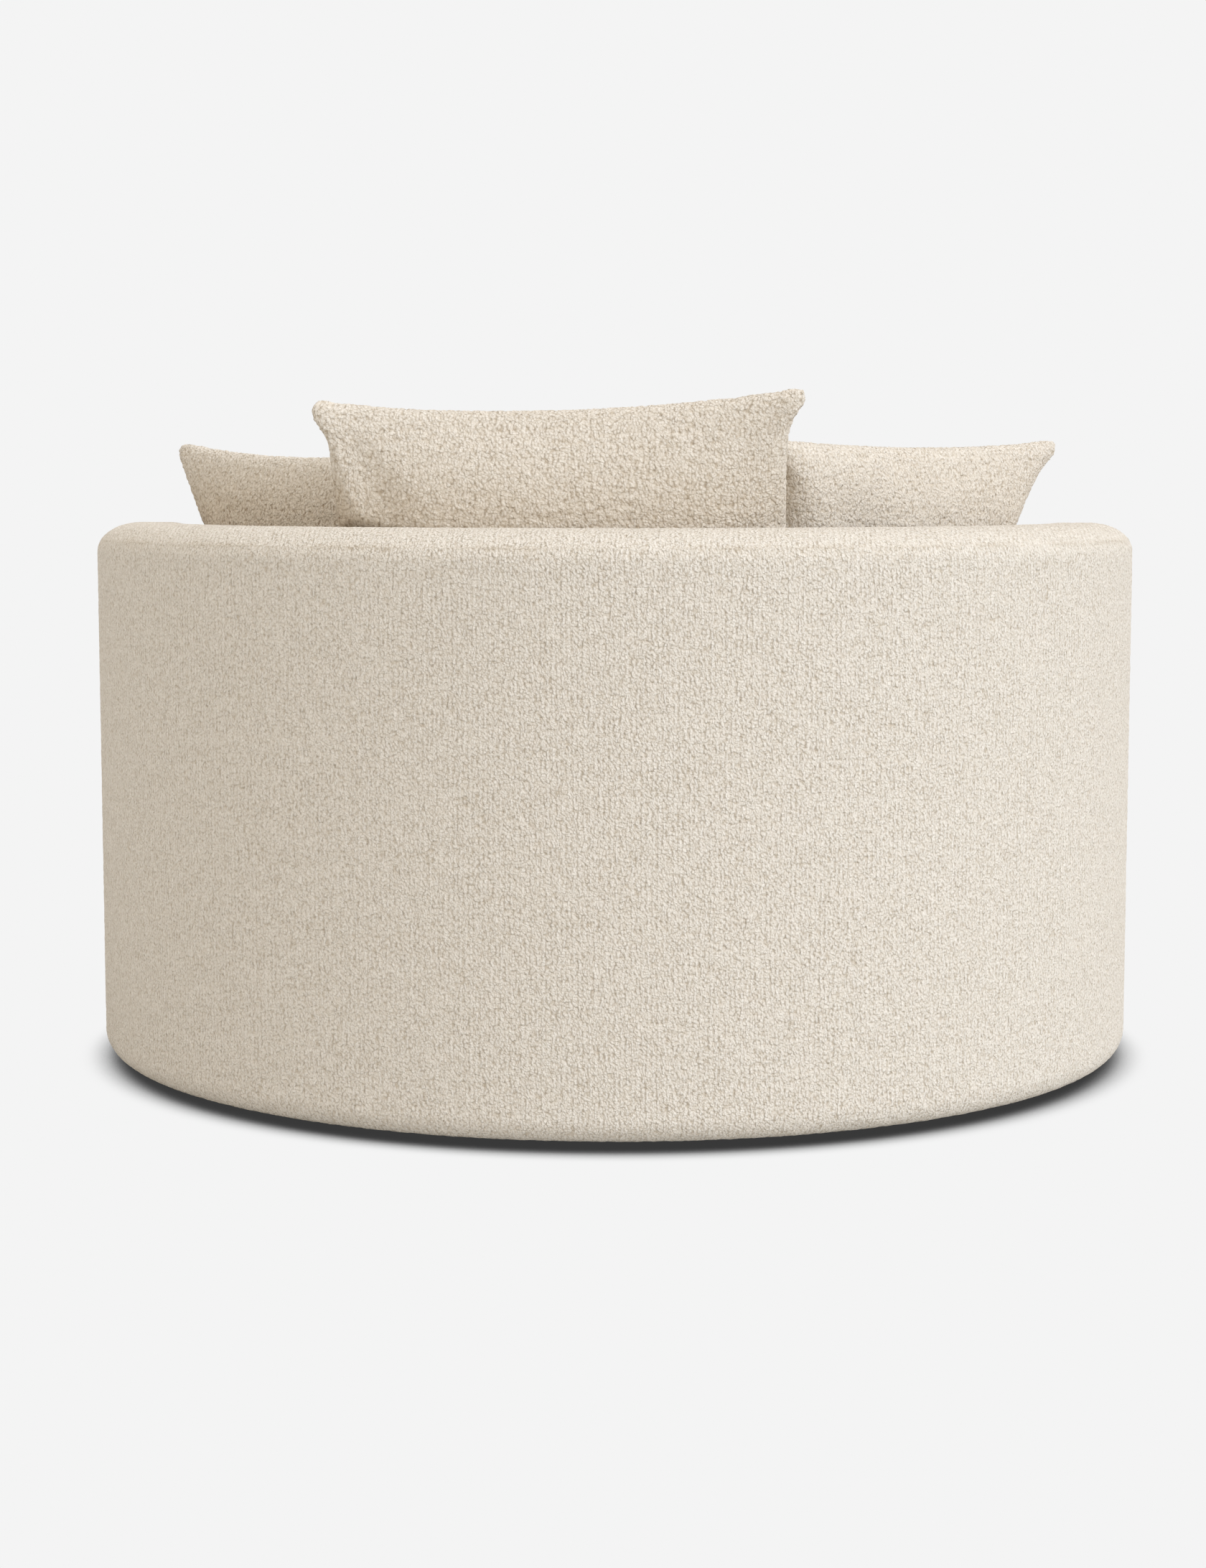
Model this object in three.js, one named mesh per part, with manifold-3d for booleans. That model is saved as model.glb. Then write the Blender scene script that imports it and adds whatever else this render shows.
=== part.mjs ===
// A round cuddle chair: a drum-shaped base, a padded wall that wraps the back half of the drum,
// a deep T-shaped seat cushion and three loose back pillows, all covered in cream boucle.
// Millimetres, +Z up. The origin is on the floor under the drum's axis, and the sitter faces -Y.
// Angles round the drum are degrees from the middle of the back (+Y), growing towards +X.
import * as THREE from "three";
import { mergeVertices } from "three/addons/utils/BufferGeometryUtils.js";
import Module from "manifold-3d";

const wasm = await Module();
wasm.setup();

// Overall sizes
const drumRadius = 762;
const wallHeight = 784;
const wallThickness = 164;
const floorGap = 11;
const platformHeight = 240;
const armEndAngle = 87;
const fitGap = 0.3;
const cutOverrun = 50;
const ringSegments = 48;

// Covers and padding
const coverThickness = 3;
const waddingThickness = 12;
const innerFoamThickness = 50;
const topFoamThickness = 60;
const armEndFoamThickness = 28;
const bandLap = 24;
const armCornerRadius = 62;
const topEdgeWidth = 60;
const topEdgeDrop = 42;
const bottomEdgeRadius = 32;
const hemWidth = 30;
const deckEdgeRadius = 12;
const deckFlapWidth = 28;
const waddingFloorLift = 2;

// Frame
const skinThickness = 3;
const boardThickness = 18;
const baseBoardWidth = 143;
const baseBoardBottom = 14.3;
const baseBoardChamfer = 12;
const lumberWidth = 38;
const lumberClearance = 1;
const postAngles = [0, 51.4, 102.9, 154.3, -154.3, -102.9, -51.4];
const studAngles = [0, 40, 80, -80, -40];
const crossRailOffset = 220;
const crossRailDepth = 100;
const crossRailBearing = 40;
const webbingThickness = 2;
const webbingWidth = 80;
const webbingPitch = 230;
const webbingStrapsEachSide = 2;
const webbingBearing = 40;
const deckPadThickness = 16;
const deckInset = 2;

// Underside
const dustCoverThickness = 1.4;
const dustCoverInset = 60;
const glideRadius = 20;
const glideRounding = 3;
const glideCount = 6;
const glideInset = 92;
const glideScrewRadius = 3;
const glideScrewLength = 14;
const glideSegments = 12;
const screwSegments = 6;

// Seat cushion
const cushionThickness = 165;
const cushionCrown = 20;
const cushionInset = 8;
const cushionEdge = 16;
const cushionCornerRadius = 46;
const cushionWall = 5;
const coreGap = 1;
const crownRingShares = [0.85, 0.64];

// Zips
const zipTapeThickness = 2;
const zipSliderLength = 12;
const zipSliderWidth = 6;
const zipSliderHeight = 4;
const seatZipHalfAngle = 44;
const seatZipSegments = 144;
const seatZipRecess = 1.4;
const seatZipWidth = 9.4;
const pillowZipInset = 150;
const pillowZipWidth = 9.4;
const pillowZipThickness = 1.4;

// Back pillows. `facing` is the angle round the drum that a pillow's back looks to. Its foot stands
// `footFromWall` in front of the wall there, and `footAside` to the side. A pillow spans a sixth of
// the wall's round, whose chord is the wall's inner radius, and laps its neighbour by `pillowLap`.
const pillowLap = 42;
const pillowHeight = 585;
const pillowThickness = 190;
const pillowGridSteps = 8;
const pillowWall = 5;
const pillowDrawIn = 22;
const pillowFullnessPower = 2.2;
const pillowEdgePower = 0.62;
const pillowBottomFullnessShare = 0.08;
const pillowSink = 25;
const pillowRestGap = 0.5;
const pillowClearance = 6;
const insertScale = 0.975;
const pillowLeastThickness = 16;
const pillowReleaseRate = 400;
const wallRollSlope = 0.45;

const centrePillow = {
  name: "centre_pillow",
  footFromWall: 292,
  footAside: 35,
  facing: 0,
  lean: 24.7,
  roll: 0.75,
  bow: 24,
};
const leftPillow = {
  name: "left_pillow",
  footFromWall: 438,
  footAside: 105,
  facing: 46,
  lean: 35.8,
  roll: -1,
  bow: 46,
};
const rightPillow = {
  name: "right_pillow",
  footFromWall: 437,
  footAside: -110,
  facing: -50,
  lean: 35,
  roll: 0.5,
  bow: 24,
};

// Places that follow from the sizes above
const innerRadius = drumRadius - wallThickness;
const coverAndGap = coverThickness + fitGap;
const frameInner = innerRadius + coverAndGap + innerFoamThickness;
const frameOuter = drumRadius - coverAndGap - waddingThickness - fitGap;
const skinInside = frameOuter - skinThickness - fitGap;
const skinInsideBack = frameInner + fitGap + skinThickness + fitGap;
const baseBoardTop = baseBoardBottom + boardThickness;
const baseBoardInner = skinInside - baseBoardWidth;
const wallFoot = platformHeight + webbingThickness + 2 * fitGap + fitGap;
const railTop = wallHeight - topFoamThickness;
const bandSeam = wallHeight - bandLap;
const deckPadBottom = platformHeight + webbingThickness + 2 * fitGap;
const deckTop = deckPadBottom + deckPadThickness + fitGap + coverThickness;
const curlCentre = floorGap + bottomEdgeRadius;
const pillowWidth = innerRadius + pillowLap;
const pillowZipLength = pillowWidth - 2 * pillowZipInset;
const glideCircleRadius = drumRadius - glideInset;
const cushionBottom = deckTop + fitGap;
const cushionTop = cushionBottom + cushionThickness;
const pillowRest = cushionTop + cushionCrown + pillowRestGap;

const colours = {
  boucle: [0xdfd5c4, 0.95],
  foam: [0xe9dca8, 0.9],
  wadding: [0xf1efe9, 0.95],
  plywood: [0xd9b98a, 0.7],
  lumber: [0xd2ad78, 0.75],
  hardboard: [0x8a6544, 0.8],
  webbing: [0x2c2a29, 0.85],
  cambric: [0x1d1c1c, 0.95],
  glide: [0x26221f, 0.5],
  lining: [0xeeeae2, 0.95],
  zip: [0xd8cfbf, 0.6],
};

const chair = new THREE.Group();

function material(finish) {
  const [color, roughness] = colours[finish];
  return new THREE.MeshStandardMaterial({ color, roughness, metalness: 0 });
}

function addPiece(name, solid, finish) {
  const piece = new THREE.Mesh(geometryOf(solid), material(finish));
  piece.name = name;
  chair.add(piece);
}

// Solids and booleans

function solidOf(geometry) {
  const bare = new THREE.BufferGeometry();
  bare.setAttribute("position", geometry.getAttribute("position"));
  if (geometry.index) bare.setIndex(geometry.index);
  const merged = mergeVertices(bare, 1e-3);
  const made = new wasm.Manifold(
    new wasm.Mesh({
      numProp: 3,
      vertProperties: new Float32Array(merged.attributes.position.array),
      triVerts: new Uint32Array(merged.index.array),
    }),
  );
  return made;
}

function geometryOf(solid) {
  const mesh = solid.getMesh();
  const geometry = new THREE.BufferGeometry();
  geometry.setAttribute("position", new THREE.BufferAttribute(mesh.vertProperties, 3));
  geometry.setIndex(new THREE.BufferAttribute(mesh.triVerts, 1));
  return geometry;
}

function cut(solid, ...cutters) {
  return cutters.reduce((rest, cutter) => rest.subtract(cutter), solid);
}

function common(solid, ...others) {
  return others.reduce((rest, other) => rest.intersect(other), solid);
}

function box(low, high) {
  const size = high.clone().sub(low);
  const geometry = new THREE.BoxGeometry(size.x, size.y, size.z);
  const middle = low.clone().add(high).multiplyScalar(0.5);
  return solidOf(geometry.translate(middle.x, middle.y, middle.z));
}

// The whole space between two heights
function layer(low, high) {
  const reach = drumRadius + cutOverrun;
  return box(new THREE.Vector3(-reach, -reach, low), new THREE.Vector3(reach, reach, high));
}

function below(height) {
  return layer(-cutOverrun, height);
}

function above(height) {
  return layer(height, wallHeight + cutOverrun);
}

// Revolves a closed profile of [radius, height] points, listed anticlockwise, round the drum's axis
function ring(profile, segments = ringSegments) {
  const points = [...profile, profile[0]].map(([r, z]) => new THREE.Vector2(r, z));
  return solidOf(new THREE.LatheGeometry(points, segments).rotateX(Math.PI / 2));
}

function tube(inner, outer, low, high, segments) {
  const profile = [
    [inner, low],
    [outer, low],
    [outer, high],
    [inner, high],
  ];
  return ring(profile, segments);
}

function planPoint(radius, degrees) {
  const angle = THREE.MathUtils.degToRad(degrees);
  return new THREE.Vector2(radius * Math.sin(angle), radius * Math.cos(angle));
}

function prism(outline, low, high) {
  const geometry = new THREE.ExtrudeGeometry(new THREE.Shape(outline), {
    depth: high - low,
    bevelEnabled: false,
  });
  return solidOf(geometry.translate(0, 0, low));
}

// A pie slice between two angles, tall enough to cut any piece
function wedge(from, to) {
  const reach = 2 * drumRadius;
  const steps = Math.ceil((to - from) / 30);
  const outline = [new THREE.Vector2(0, 0)];
  for (let i = 0; i <= steps; i++) {
    outline.push(planPoint(reach, to + ((from - to) * i) / steps));
  }
  return prism(outline, -cutOverrun, wallHeight + cutOverrun);
}

// The space in front of a plane parallel to an arm's end face, `lap` millimetres inside it.
// side is 1 for the arm at +X and -1 for the arm at -X.
function armEndSpace(side, lap) {
  const along = planPoint(1, side * armEndAngle);
  const out = planPoint(1, side * (armEndAngle + 90));
  const foot = out.clone().multiplyScalar(-lap);
  const reach = 2 * drumRadius;
  const depth = drumRadius / 2;
  const corners = [
    foot.clone(),
    foot.clone().addScaledVector(along, reach),
    foot.clone().addScaledVector(along, reach).addScaledVector(out, depth),
    foot.clone().addScaledVector(out, depth),
  ];
  return prism(corners, -cutOverrun, wallHeight + cutOverrun);
}

// Joins a stack of outlines with equal point counts into a closed solid with flat ends
function loft(levels) {
  const count = levels[0].outline.length;
  const positions = [];
  const index = [];
  for (const { outline, z } of levels) {
    for (const p of outline) positions.push(p.x, p.y, z);
  }
  for (let k = 0; k + 1 < levels.length; k++) {
    for (let i = 0; i < count; i++) {
      const a = k * count + i;
      const b = k * count + ((i + 1) % count);
      index.push(a, b, b + count, a, b + count, a + count);
    }
  }
  const cap = (level, facesUp) => {
    const start = level * count;
    const triangles = THREE.ShapeUtils.triangulateShape(levels[level].outline, []);
    for (const [a, b, c] of triangles) {
      index.push(start + a, ...(facesUp ? [start + b, start + c] : [start + c, start + b]));
    }
  };
  cap(0, false);
  cap(levels.length - 1, true);
  const geometry = new THREE.BufferGeometry();
  geometry.setAttribute("position", new THREE.Float32BufferAttribute(positions, 3));
  geometry.setIndex(index);
  return solidOf(geometry);
}

function arcPoints(centre, radius, from, to, steps) {
  const points = [];
  for (let i = 0; i <= steps; i++) {
    points.push(planPoint(radius, from + ((to - from) * i) / steps).add(centre));
  }
  return points;
}

// Points on a drum circle from one angle to another, with the ring's own stations between them
function drumArc(radius, from, to) {
  const pitch = 360 / ringSegments;
  const margin = pitch / 4;
  const points = [planPoint(radius, from)];
  for (let a = Math.ceil((from + margin) / pitch) * pitch; a < to - margin; a += pitch) {
    points.push(planPoint(radius, a));
  }
  points.push(planPoint(radius, to));
  return points;
}

function mirrored(points) {
  return points.map((p) => new THREE.Vector2(-p.x, p.y)).reverse();
}

// The wall: plan outline of the arms and back, moved in by `inset` all round.
// Its corners share their centres at every inset, so that layers stay parallel.
const wallCornerSteps = 4;
function wallOutline(inset) {
  const along = planPoint(1, armEndAngle);
  const out = planPoint(1, armEndAngle + 90);
  const centreAt = (radius) =>
    along
      .clone()
      .multiplyScalar(Math.sqrt(radius ** 2 - armCornerRadius ** 2))
      .addScaledVector(out, -armCornerRadius);
  const outerCentre = centreAt(drumRadius - armCornerRadius);
  const innerCentre = centreAt(innerRadius + armCornerRadius);
  const outerAngle = angleOf(outerCentre);
  const innerAngle = angleOf(innerCentre);
  const radius = armCornerRadius - inset;
  const endDirection = armEndAngle + 90;
  const half = [
    ...arcPoints(outerCentre, radius, outerAngle, endDirection, wallCornerSteps).slice(1),
    ...arcPoints(innerCentre, radius, endDirection, innerAngle + 180, wallCornerSteps).slice(0, -1),
  ];
  const outline = [
    ...drumArc(drumRadius - inset, -outerAngle, outerAngle),
    ...half,
    ...drumArc(innerRadius + inset, -innerAngle, innerAngle).reverse(),
    ...mirrored(half),
  ];
  return outline.reverse();
}

// The wall's volume, moved in by `inset`, with its top edges rounded over
const topEdgeSteps = 4;
function wallSolid(inset, bottom = wallFoot) {
  const width = topEdgeWidth - inset;
  const drop = topEdgeDrop - inset;
  const levels = [{ outline: wallOutline(inset), z: bottom }];
  for (let k = 0; k <= topEdgeSteps; k++) {
    const turn = ((Math.PI / 2) * k) / topEdgeSteps;
    levels.push({
      outline: wallOutline(inset + width * (1 - Math.cos(turn))),
      z: wallHeight - topEdgeDrop + drop * Math.sin(turn),
    });
  }
  return loft(levels);
}

// The seat's T-shaped plan outline: inside the wall at the back, out to the drum in front of the
// arms. `inset` moves it in all round.
const seatCornerSteps = 3;

function angleOf(point) {
  return THREE.MathUtils.radToDeg(Math.atan2(point.x, point.y));
}

// Where the outline turns out from the wall to the front of an arm, as an angle round the drum
function seatTurnAngle(inset) {
  const rear = innerRadius - inset;
  return armEndAngle + THREE.MathUtils.radToDeg(Math.asin(inset / rear));
}

function seatOutline(inset) {
  const turnAngle = seatTurnAngle(inset);
  const cornerCentre = planPoint(1, armEndAngle)
    .multiplyScalar(Math.sqrt((drumRadius - cushionCornerRadius) ** 2 - cushionCornerRadius ** 2))
    .addScaledVector(planPoint(1, armEndAngle + 90), cushionCornerRadius);
  const cornerAngle = angleOf(cornerCentre);
  const corner = arcPoints(
    cornerCentre,
    cushionCornerRadius - inset,
    armEndAngle - 90,
    cornerAngle,
    seatCornerSteps,
  ).slice(0, -1);
  const outline = [
    ...drumArc(innerRadius - inset, -turnAngle, turnAngle),
    ...corner,
    ...drumArc(drumRadius - inset, cornerAngle, 360 - cornerAngle),
    ...mirrored(corner),
  ];
  return outline.reverse();
}

// A circle with as many points as the seat's outline, for the crown of its top
function crownOutline(inset, radius) {
  const turnAngle = seatTurnAngle(inset);
  const circle = drumArc(radius, -turnAngle, turnAngle);
  const others = seatOutline(inset).length - circle.length;
  const pitch = (360 - 2 * turnAngle) / (others + 1);
  for (let i = 1; i <= others; i++) circle.push(planPoint(radius, turnAngle + i * pitch));
  return circle.reverse();
}

function seatSlab(inset, low, high) {
  return prism(seatOutline(inset), low, high);
}

// Upholstered drum: lower edge of a cover that curls under the base, as a closed strip of profile
const curlSteps = 3;
function curledProfile(top) {
  const outside = [];
  const inside = [];
  for (let k = 0; k <= curlSteps; k++) {
    const turn = ((Math.PI / 2) * k) / curlSteps;
    const reach = drumRadius - bottomEdgeRadius;
    outside.push([
      reach + bottomEdgeRadius * Math.sin(turn),
      curlCentre - bottomEdgeRadius * Math.cos(turn),
    ]);
    inside.push([
      reach + (bottomEdgeRadius - coverThickness) * Math.sin(turn),
      curlCentre - (bottomEdgeRadius - coverThickness) * Math.cos(turn),
    ]);
  }
  const hem = drumRadius - bottomEdgeRadius - hemWidth;
  return [
    [hem, floorGap],
    ...outside,
    ...top,
    ...inside.reverse(),
    [hem, floorGap + coverThickness],
  ];
}

// Plates, posts and rails of the timber frame

function radialBlock(degrees, low, high) {
  const inside = skinInsideBack + lumberClearance;
  const outside = skinInside * Math.cos(Math.PI / ringSegments) - lumberClearance;
  const block = new THREE.BoxGeometry(lumberWidth, outside - inside, high - low);
  block.translate(0, (inside + outside) / 2, (low + high) / 2);
  return solidOf(block.rotateZ(-THREE.MathUtils.degToRad(degrees)));
}

function addFrame() {
  const chamfer = baseBoardChamfer;
  addPiece(
    "base_board",
    cut(
      ring([
        [baseBoardInner, baseBoardBottom],
        [skinInside - chamfer, baseBoardBottom],
        [skinInside, baseBoardBottom + chamfer / 2],
        [skinInside, baseBoardTop],
        [baseBoardInner, baseBoardTop],
      ]),
      ...glidePlaces().map((p) => glideScrew(p, fitGap)),
    ),
    "plywood",
  );
  const seatBoardBottom = platformHeight - boardThickness;
  addPiece(
    "seat_board",
    tube(baseBoardInner, skinInside, seatBoardBottom, platformHeight),
    "plywood",
  );
  postAngles.forEach((angle, i) => {
    const post = radialBlock(angle, baseBoardTop + fitGap, seatBoardBottom - fitGap);
    addPiece(`base_post_${i + 1}`, post, "lumber");
  });
  const topRailBottom = railTop - boardThickness;
  studAngles.forEach((angle, i) => {
    const stud = radialBlock(angle, platformHeight + fitGap, topRailBottom - fitGap);
    addPiece(`back_stud_${i + 1}`, stud, "lumber");
  });
  const frameSpan = cutArmEnds(
    tube(skinInsideBack, skinInside, topRailBottom, railTop),
    armEndFoamThickness + 2 * fitGap + coverThickness,
  );
  addPiece("top_rail", frameSpan, "plywood");
  addCrossRails(seatBoardBottom);
}

// Cross rails pass under the seat board and rise inside it, so that the webbing lies on both
function addCrossRails(seatBoardBottom) {
  for (const side of [1, -1]) {
    const y = side * crossRailOffset;
    const spanAt = (radius) => Math.sqrt(radius ** 2 - crossRailOffset ** 2);
    const under = spanAt(baseBoardInner + crossRailBearing);
    const inside = spanAt(baseBoardInner - lumberWidth);
    const lower = box(
      new THREE.Vector3(-under, y - lumberWidth / 2, platformHeight - crossRailDepth),
      new THREE.Vector3(under, y + lumberWidth / 2, seatBoardBottom - fitGap),
    );
    const upper = box(
      new THREE.Vector3(-inside, y - lumberWidth / 2, seatBoardBottom - boardThickness),
      new THREE.Vector3(inside, y + lumberWidth / 2, platformHeight),
    );
    addPiece(side > 0 ? "rear_cross_rail" : "front_cross_rail", lower.add(upper), "lumber");
  }
}

// Keeps what lies behind a plane `lap` inside each arm's end
function cutArmEnds(solid, lap) {
  const span = common(solid, wedge(-armEndAngle, armEndAngle));
  return cut(span, armEndSpace(1, lap), armEndSpace(-1, lap));
}

function addSkins() {
  const lap = armEndFoamThickness + 2 * fitGap + coverThickness;
  const skinFoot = baseBoardTop + fitGap;
  const outer = frameOuter - skinThickness;
  const back = cutArmEnds(tube(outer, frameOuter, skinFoot, railTop), lap);
  addPiece("outer_back_board", back, "hardboard");
  const frontEdge = armEndAngle + 1;
  addPiece(
    "front_board",
    common(
      tube(outer, frameOuter, skinFoot, platformHeight),
      wedge(frontEdge, 360 - frontEdge),
    ),
    "hardboard",
  );
  const innerSkin = frameInner + fitGap;
  addPiece(
    "inner_back_board",
    cutArmEnds(
      tube(innerSkin, innerSkin + skinThickness, platformHeight + fitGap, railTop),
      lap,
    ),
    "hardboard",
  );
}

// Springing platform: an interlaced webbing, a felted pad and a platform cloth

function addPlatform() {
  const low = platformHeight + fitGap;
  const high = low + webbingThickness;
  const reach = baseBoardInner + webbingBearing;
  const disc = solidOf(
    new THREE.CylinderGeometry(reach, reach, high - low, ringSegments)
      .rotateX(Math.PI / 2)
      .translate(0, 0, (low + high) / 2),
  );
  let straps = null;
  for (let i = -webbingStrapsEachSide; i <= webbingStrapsEachSide; i++) {
    const middle = i * webbingPitch;
    const near = middle - webbingWidth / 2;
    const far = middle + webbingWidth / 2;
    const across = box(
      new THREE.Vector3(-drumRadius, near, low),
      new THREE.Vector3(drumRadius, far, high),
    );
    const along = box(
      new THREE.Vector3(near, -drumRadius, low),
      new THREE.Vector3(far, drumRadius, high),
    );
    straps = straps ? straps.add(across).add(along) : across.add(along);
  }
  addPiece("seat_webbing", common(straps, disc), "webbing");
  const padFront = waddingThickness + coverAndGap;
  const padSpace = tube(0, drumRadius - padFront, deckPadBottom, deckTop);
  const padTop = deckPadBottom + deckPadThickness;
  addPiece(
    "deck_pad",
    common(seatSlab(deckInset, deckPadBottom, padTop), padSpace),
    "wadding",
  );
  const clothEdge = drumRadius - deckEdgeRadius - deckFlapWidth - fitGap;
  addPiece(
    "platform_cloth",
    common(
      seatSlab(deckInset, padTop + fitGap, deckTop),
      tube(0, clothEdge, deckPadBottom, deckTop),
    ),
    "lining",
  );
}

// Padding of the wall and the drum

function addPadding() {
  const body = wallSolid(coverAndGap);
  addPiece("top_roll_foam", common(body, above(railTop + fitGap)), "foam");
  const side = common(body, below(railTop));
  for (const [name, sign] of [["left", 1], ["right", -1]]) {
    addPiece(
      `${name}_arm_end_foam`,
      common(side, armEndSpace(sign, armEndFoamThickness + coverThickness)),
      "foam",
    );
  }
  const span = cutArmEnds(side, armEndFoamThickness + coverThickness + fitGap);
  addPiece(
    "inner_back_foam",
    common(span, tube(innerRadius, frameInner, wallFoot, railTop)),
    "foam",
  );
  const waddingInside = frameOuter + fitGap;
  const waddingFoot = curlCentre + waddingFloorLift;
  const waddingOutside = drumRadius - coverAndGap;
  const upper = common(span, tube(waddingInside, drumRadius, wallFoot, railTop));
  const lower = common(
    tube(waddingInside, waddingOutside, waddingFoot, wallFoot),
    wedge(-coverSeamAngle(), coverSeamAngle()),
  );
  addPiece("outer_back_wadding", upper.add(lower), "wadding");
  const frontFrom = coverSeamAngle() + seamGapAngle;
  const waddingTop = deckTop - deckEdgeRadius;
  addPiece(
    "front_wadding",
    cut(
      common(
        tube(waddingInside, waddingOutside, waddingFoot, waddingTop),
        wedge(frontFrom, 360 - frontFrom),
      ),
      wallSolid(-fitGap, wallFoot - fitGap),
    ),
    "wadding",
  );
}

// The seam that runs down the drum from each arm's end, as an angle round the drum
function coverSeamAngle() {
  return armEndAngle - THREE.MathUtils.radToDeg(Math.asin(bandLap / drumRadius));
}
const seamGapAngle = THREE.MathUtils.radToDeg(fitGap / innerRadius);

// Boucle covers, cut as panels that meet at the seams

function addCovers() {
  const shell = cut(wallSolid(0), wallSolid(coverThickness, wallFoot - cutOverrun));
  const middle = (innerRadius + drumRadius) / 2;
  const outerHalf = tube(middle, drumRadius + cutOverrun, -cutOverrun, wallHeight);
  const innerHalf = tube(innerRadius / 2, middle, -cutOverrun, wallHeight);
  const sides = common(shell, below(bandSeam - fitGap));
  const panels = cutArmEnds(sides, bandLap + fitGap);
  addPiece("top_band", common(shell, above(bandSeam)), "boucle");
  for (const [name, sign] of [["left", 1], ["right", -1]]) {
    addPiece(`${name}_arm_front_band`, common(sides, armEndSpace(sign, bandLap)), "boucle");
  }
  addPiece("inner_back_cover", common(panels, innerHalf), "boucle");
  const drumTop = [
    [drumRadius, wallFoot],
    [drumRadius - coverThickness, wallFoot],
  ];
  const lower = common(
    ring(curledProfile(drumTop)),
    wedge(-coverSeamAngle(), coverSeamAngle()),
  );
  const upper = common(panels, outerHalf);
  addPiece("outer_back_cover", upper.add(lower), "boucle");
  addFrontCover();
}

function addFrontCover() {
  const rolled = [];
  const lining = [];
  for (let k = 0; k <= curlSteps; k++) {
    const turn = ((Math.PI / 2) * k) / curlSteps;
    const inner = deckEdgeRadius - coverThickness;
    const radius = drumRadius - deckEdgeRadius;
    const height = deckTop - deckEdgeRadius;
    rolled.push([
      radius + deckEdgeRadius * Math.cos(turn),
      height + deckEdgeRadius * Math.sin(turn),
    ]);
    lining.push([radius + inner * Math.cos(turn), height + inner * Math.sin(turn)]);
  }
  const flap = drumRadius - deckEdgeRadius - deckFlapWidth;
  const top = [
    ...rolled,
    [flap, deckTop],
    [flap, deckTop - coverThickness],
    ...lining.reverse(),
  ];
  const from = coverSeamAngle() + seamGapAngle;
  addPiece(
    "front_cover",
    cut(
      common(ring(curledProfile(top)), wedge(from, 360 - from)),
      wallSolid(-fitGap, wallFoot - fitGap),
    ),
    "boucle",
  );
}

// Underside: a dust cover, and glides screwed through it into the base board

function glidePlaces() {
  const places = [];
  for (let i = 0; i < glideCount; i++) {
    places.push(planPoint(glideCircleRadius, (360 * (i + 0.5)) / glideCount));
  }
  return places;
}

function glideScrew(place, clearance) {
  const low = floorGap - glideRounding;
  const high = baseBoardBottom + glideScrewLength + clearance;
  const radius = glideScrewRadius + clearance;
  const screw = new THREE.CylinderGeometry(radius, radius, high - low, screwSegments);
  screw.rotateX(Math.PI / 2).translate(place.x, place.y, (low + high) / 2);
  return solidOf(screw);
}

function addUnderside() {
  const top = baseBoardBottom - fitGap;
  const bottom = top - dustCoverThickness;
  const places = glidePlaces();
  const hem = drumRadius - bottomEdgeRadius - hemWidth;
  const sheet = tube(0, Math.min(hem - fitGap, drumRadius - dustCoverInset), bottom, top);
  addPiece("dust_cover", cut(sheet, ...places.map((p) => glideScrew(p, fitGap))), "cambric");
  places.forEach((place, i) => {
    const padTop = bottom - fitGap;
    const pad = new THREE.LatheGeometry(
      [
        new THREE.Vector2(0, 0),
        new THREE.Vector2(glideRadius - glideRounding, 0),
        new THREE.Vector2(glideRadius, glideRounding),
        new THREE.Vector2(glideRadius, padTop),
        new THREE.Vector2(0, padTop),
      ],
      glideSegments,
    );
    pad.rotateX(Math.PI / 2).translate(place.x, place.y, 0);
    addPiece(`glide_${i + 1}`, solidOf(pad).add(glideScrew(place, 0)), "glide");
  });
}

// Seat cushion: a boxed boucle cover with a crowned top, a foam core, and a zip round its back

function cushionLevels(inset, low, high, crown, edge, edgeSteps) {
  const levels = [];
  const sides = [];
  for (let k = 0; k <= edgeSteps; k++) {
    const turn = ((Math.PI / 2) * k) / edgeSteps;
    sides.push([inset + edge * (1 - Math.sin(turn)), edge * (1 - Math.cos(turn))]);
  }
  for (const [moved, lift] of sides) levels.push({ outline: seatOutline(moved), z: low + lift });
  for (const [moved, lift] of sides.reverse()) {
    levels.push({ outline: seatOutline(moved), z: high - lift });
  }
  const rise = 1 - crownRingShares.at(-1) ** 2;
  for (const share of crownRingShares) {
    const radius = share * (innerRadius - inset - edge);
    levels.push({
      outline: crownOutline(inset + edge, radius),
      z: high + (crown * (1 - share ** 2)) / rise,
    });
  }
  return levels;
}

function seatZipSector(inner, outer, halfWidth, halfAngle) {
  const middle = (cushionBottom + cushionTop) / 2;
  return common(
    tube(inner, outer, middle - halfWidth, middle + halfWidth, seatZipSegments),
    wedge(-halfAngle, halfAngle),
  );
}

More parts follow.
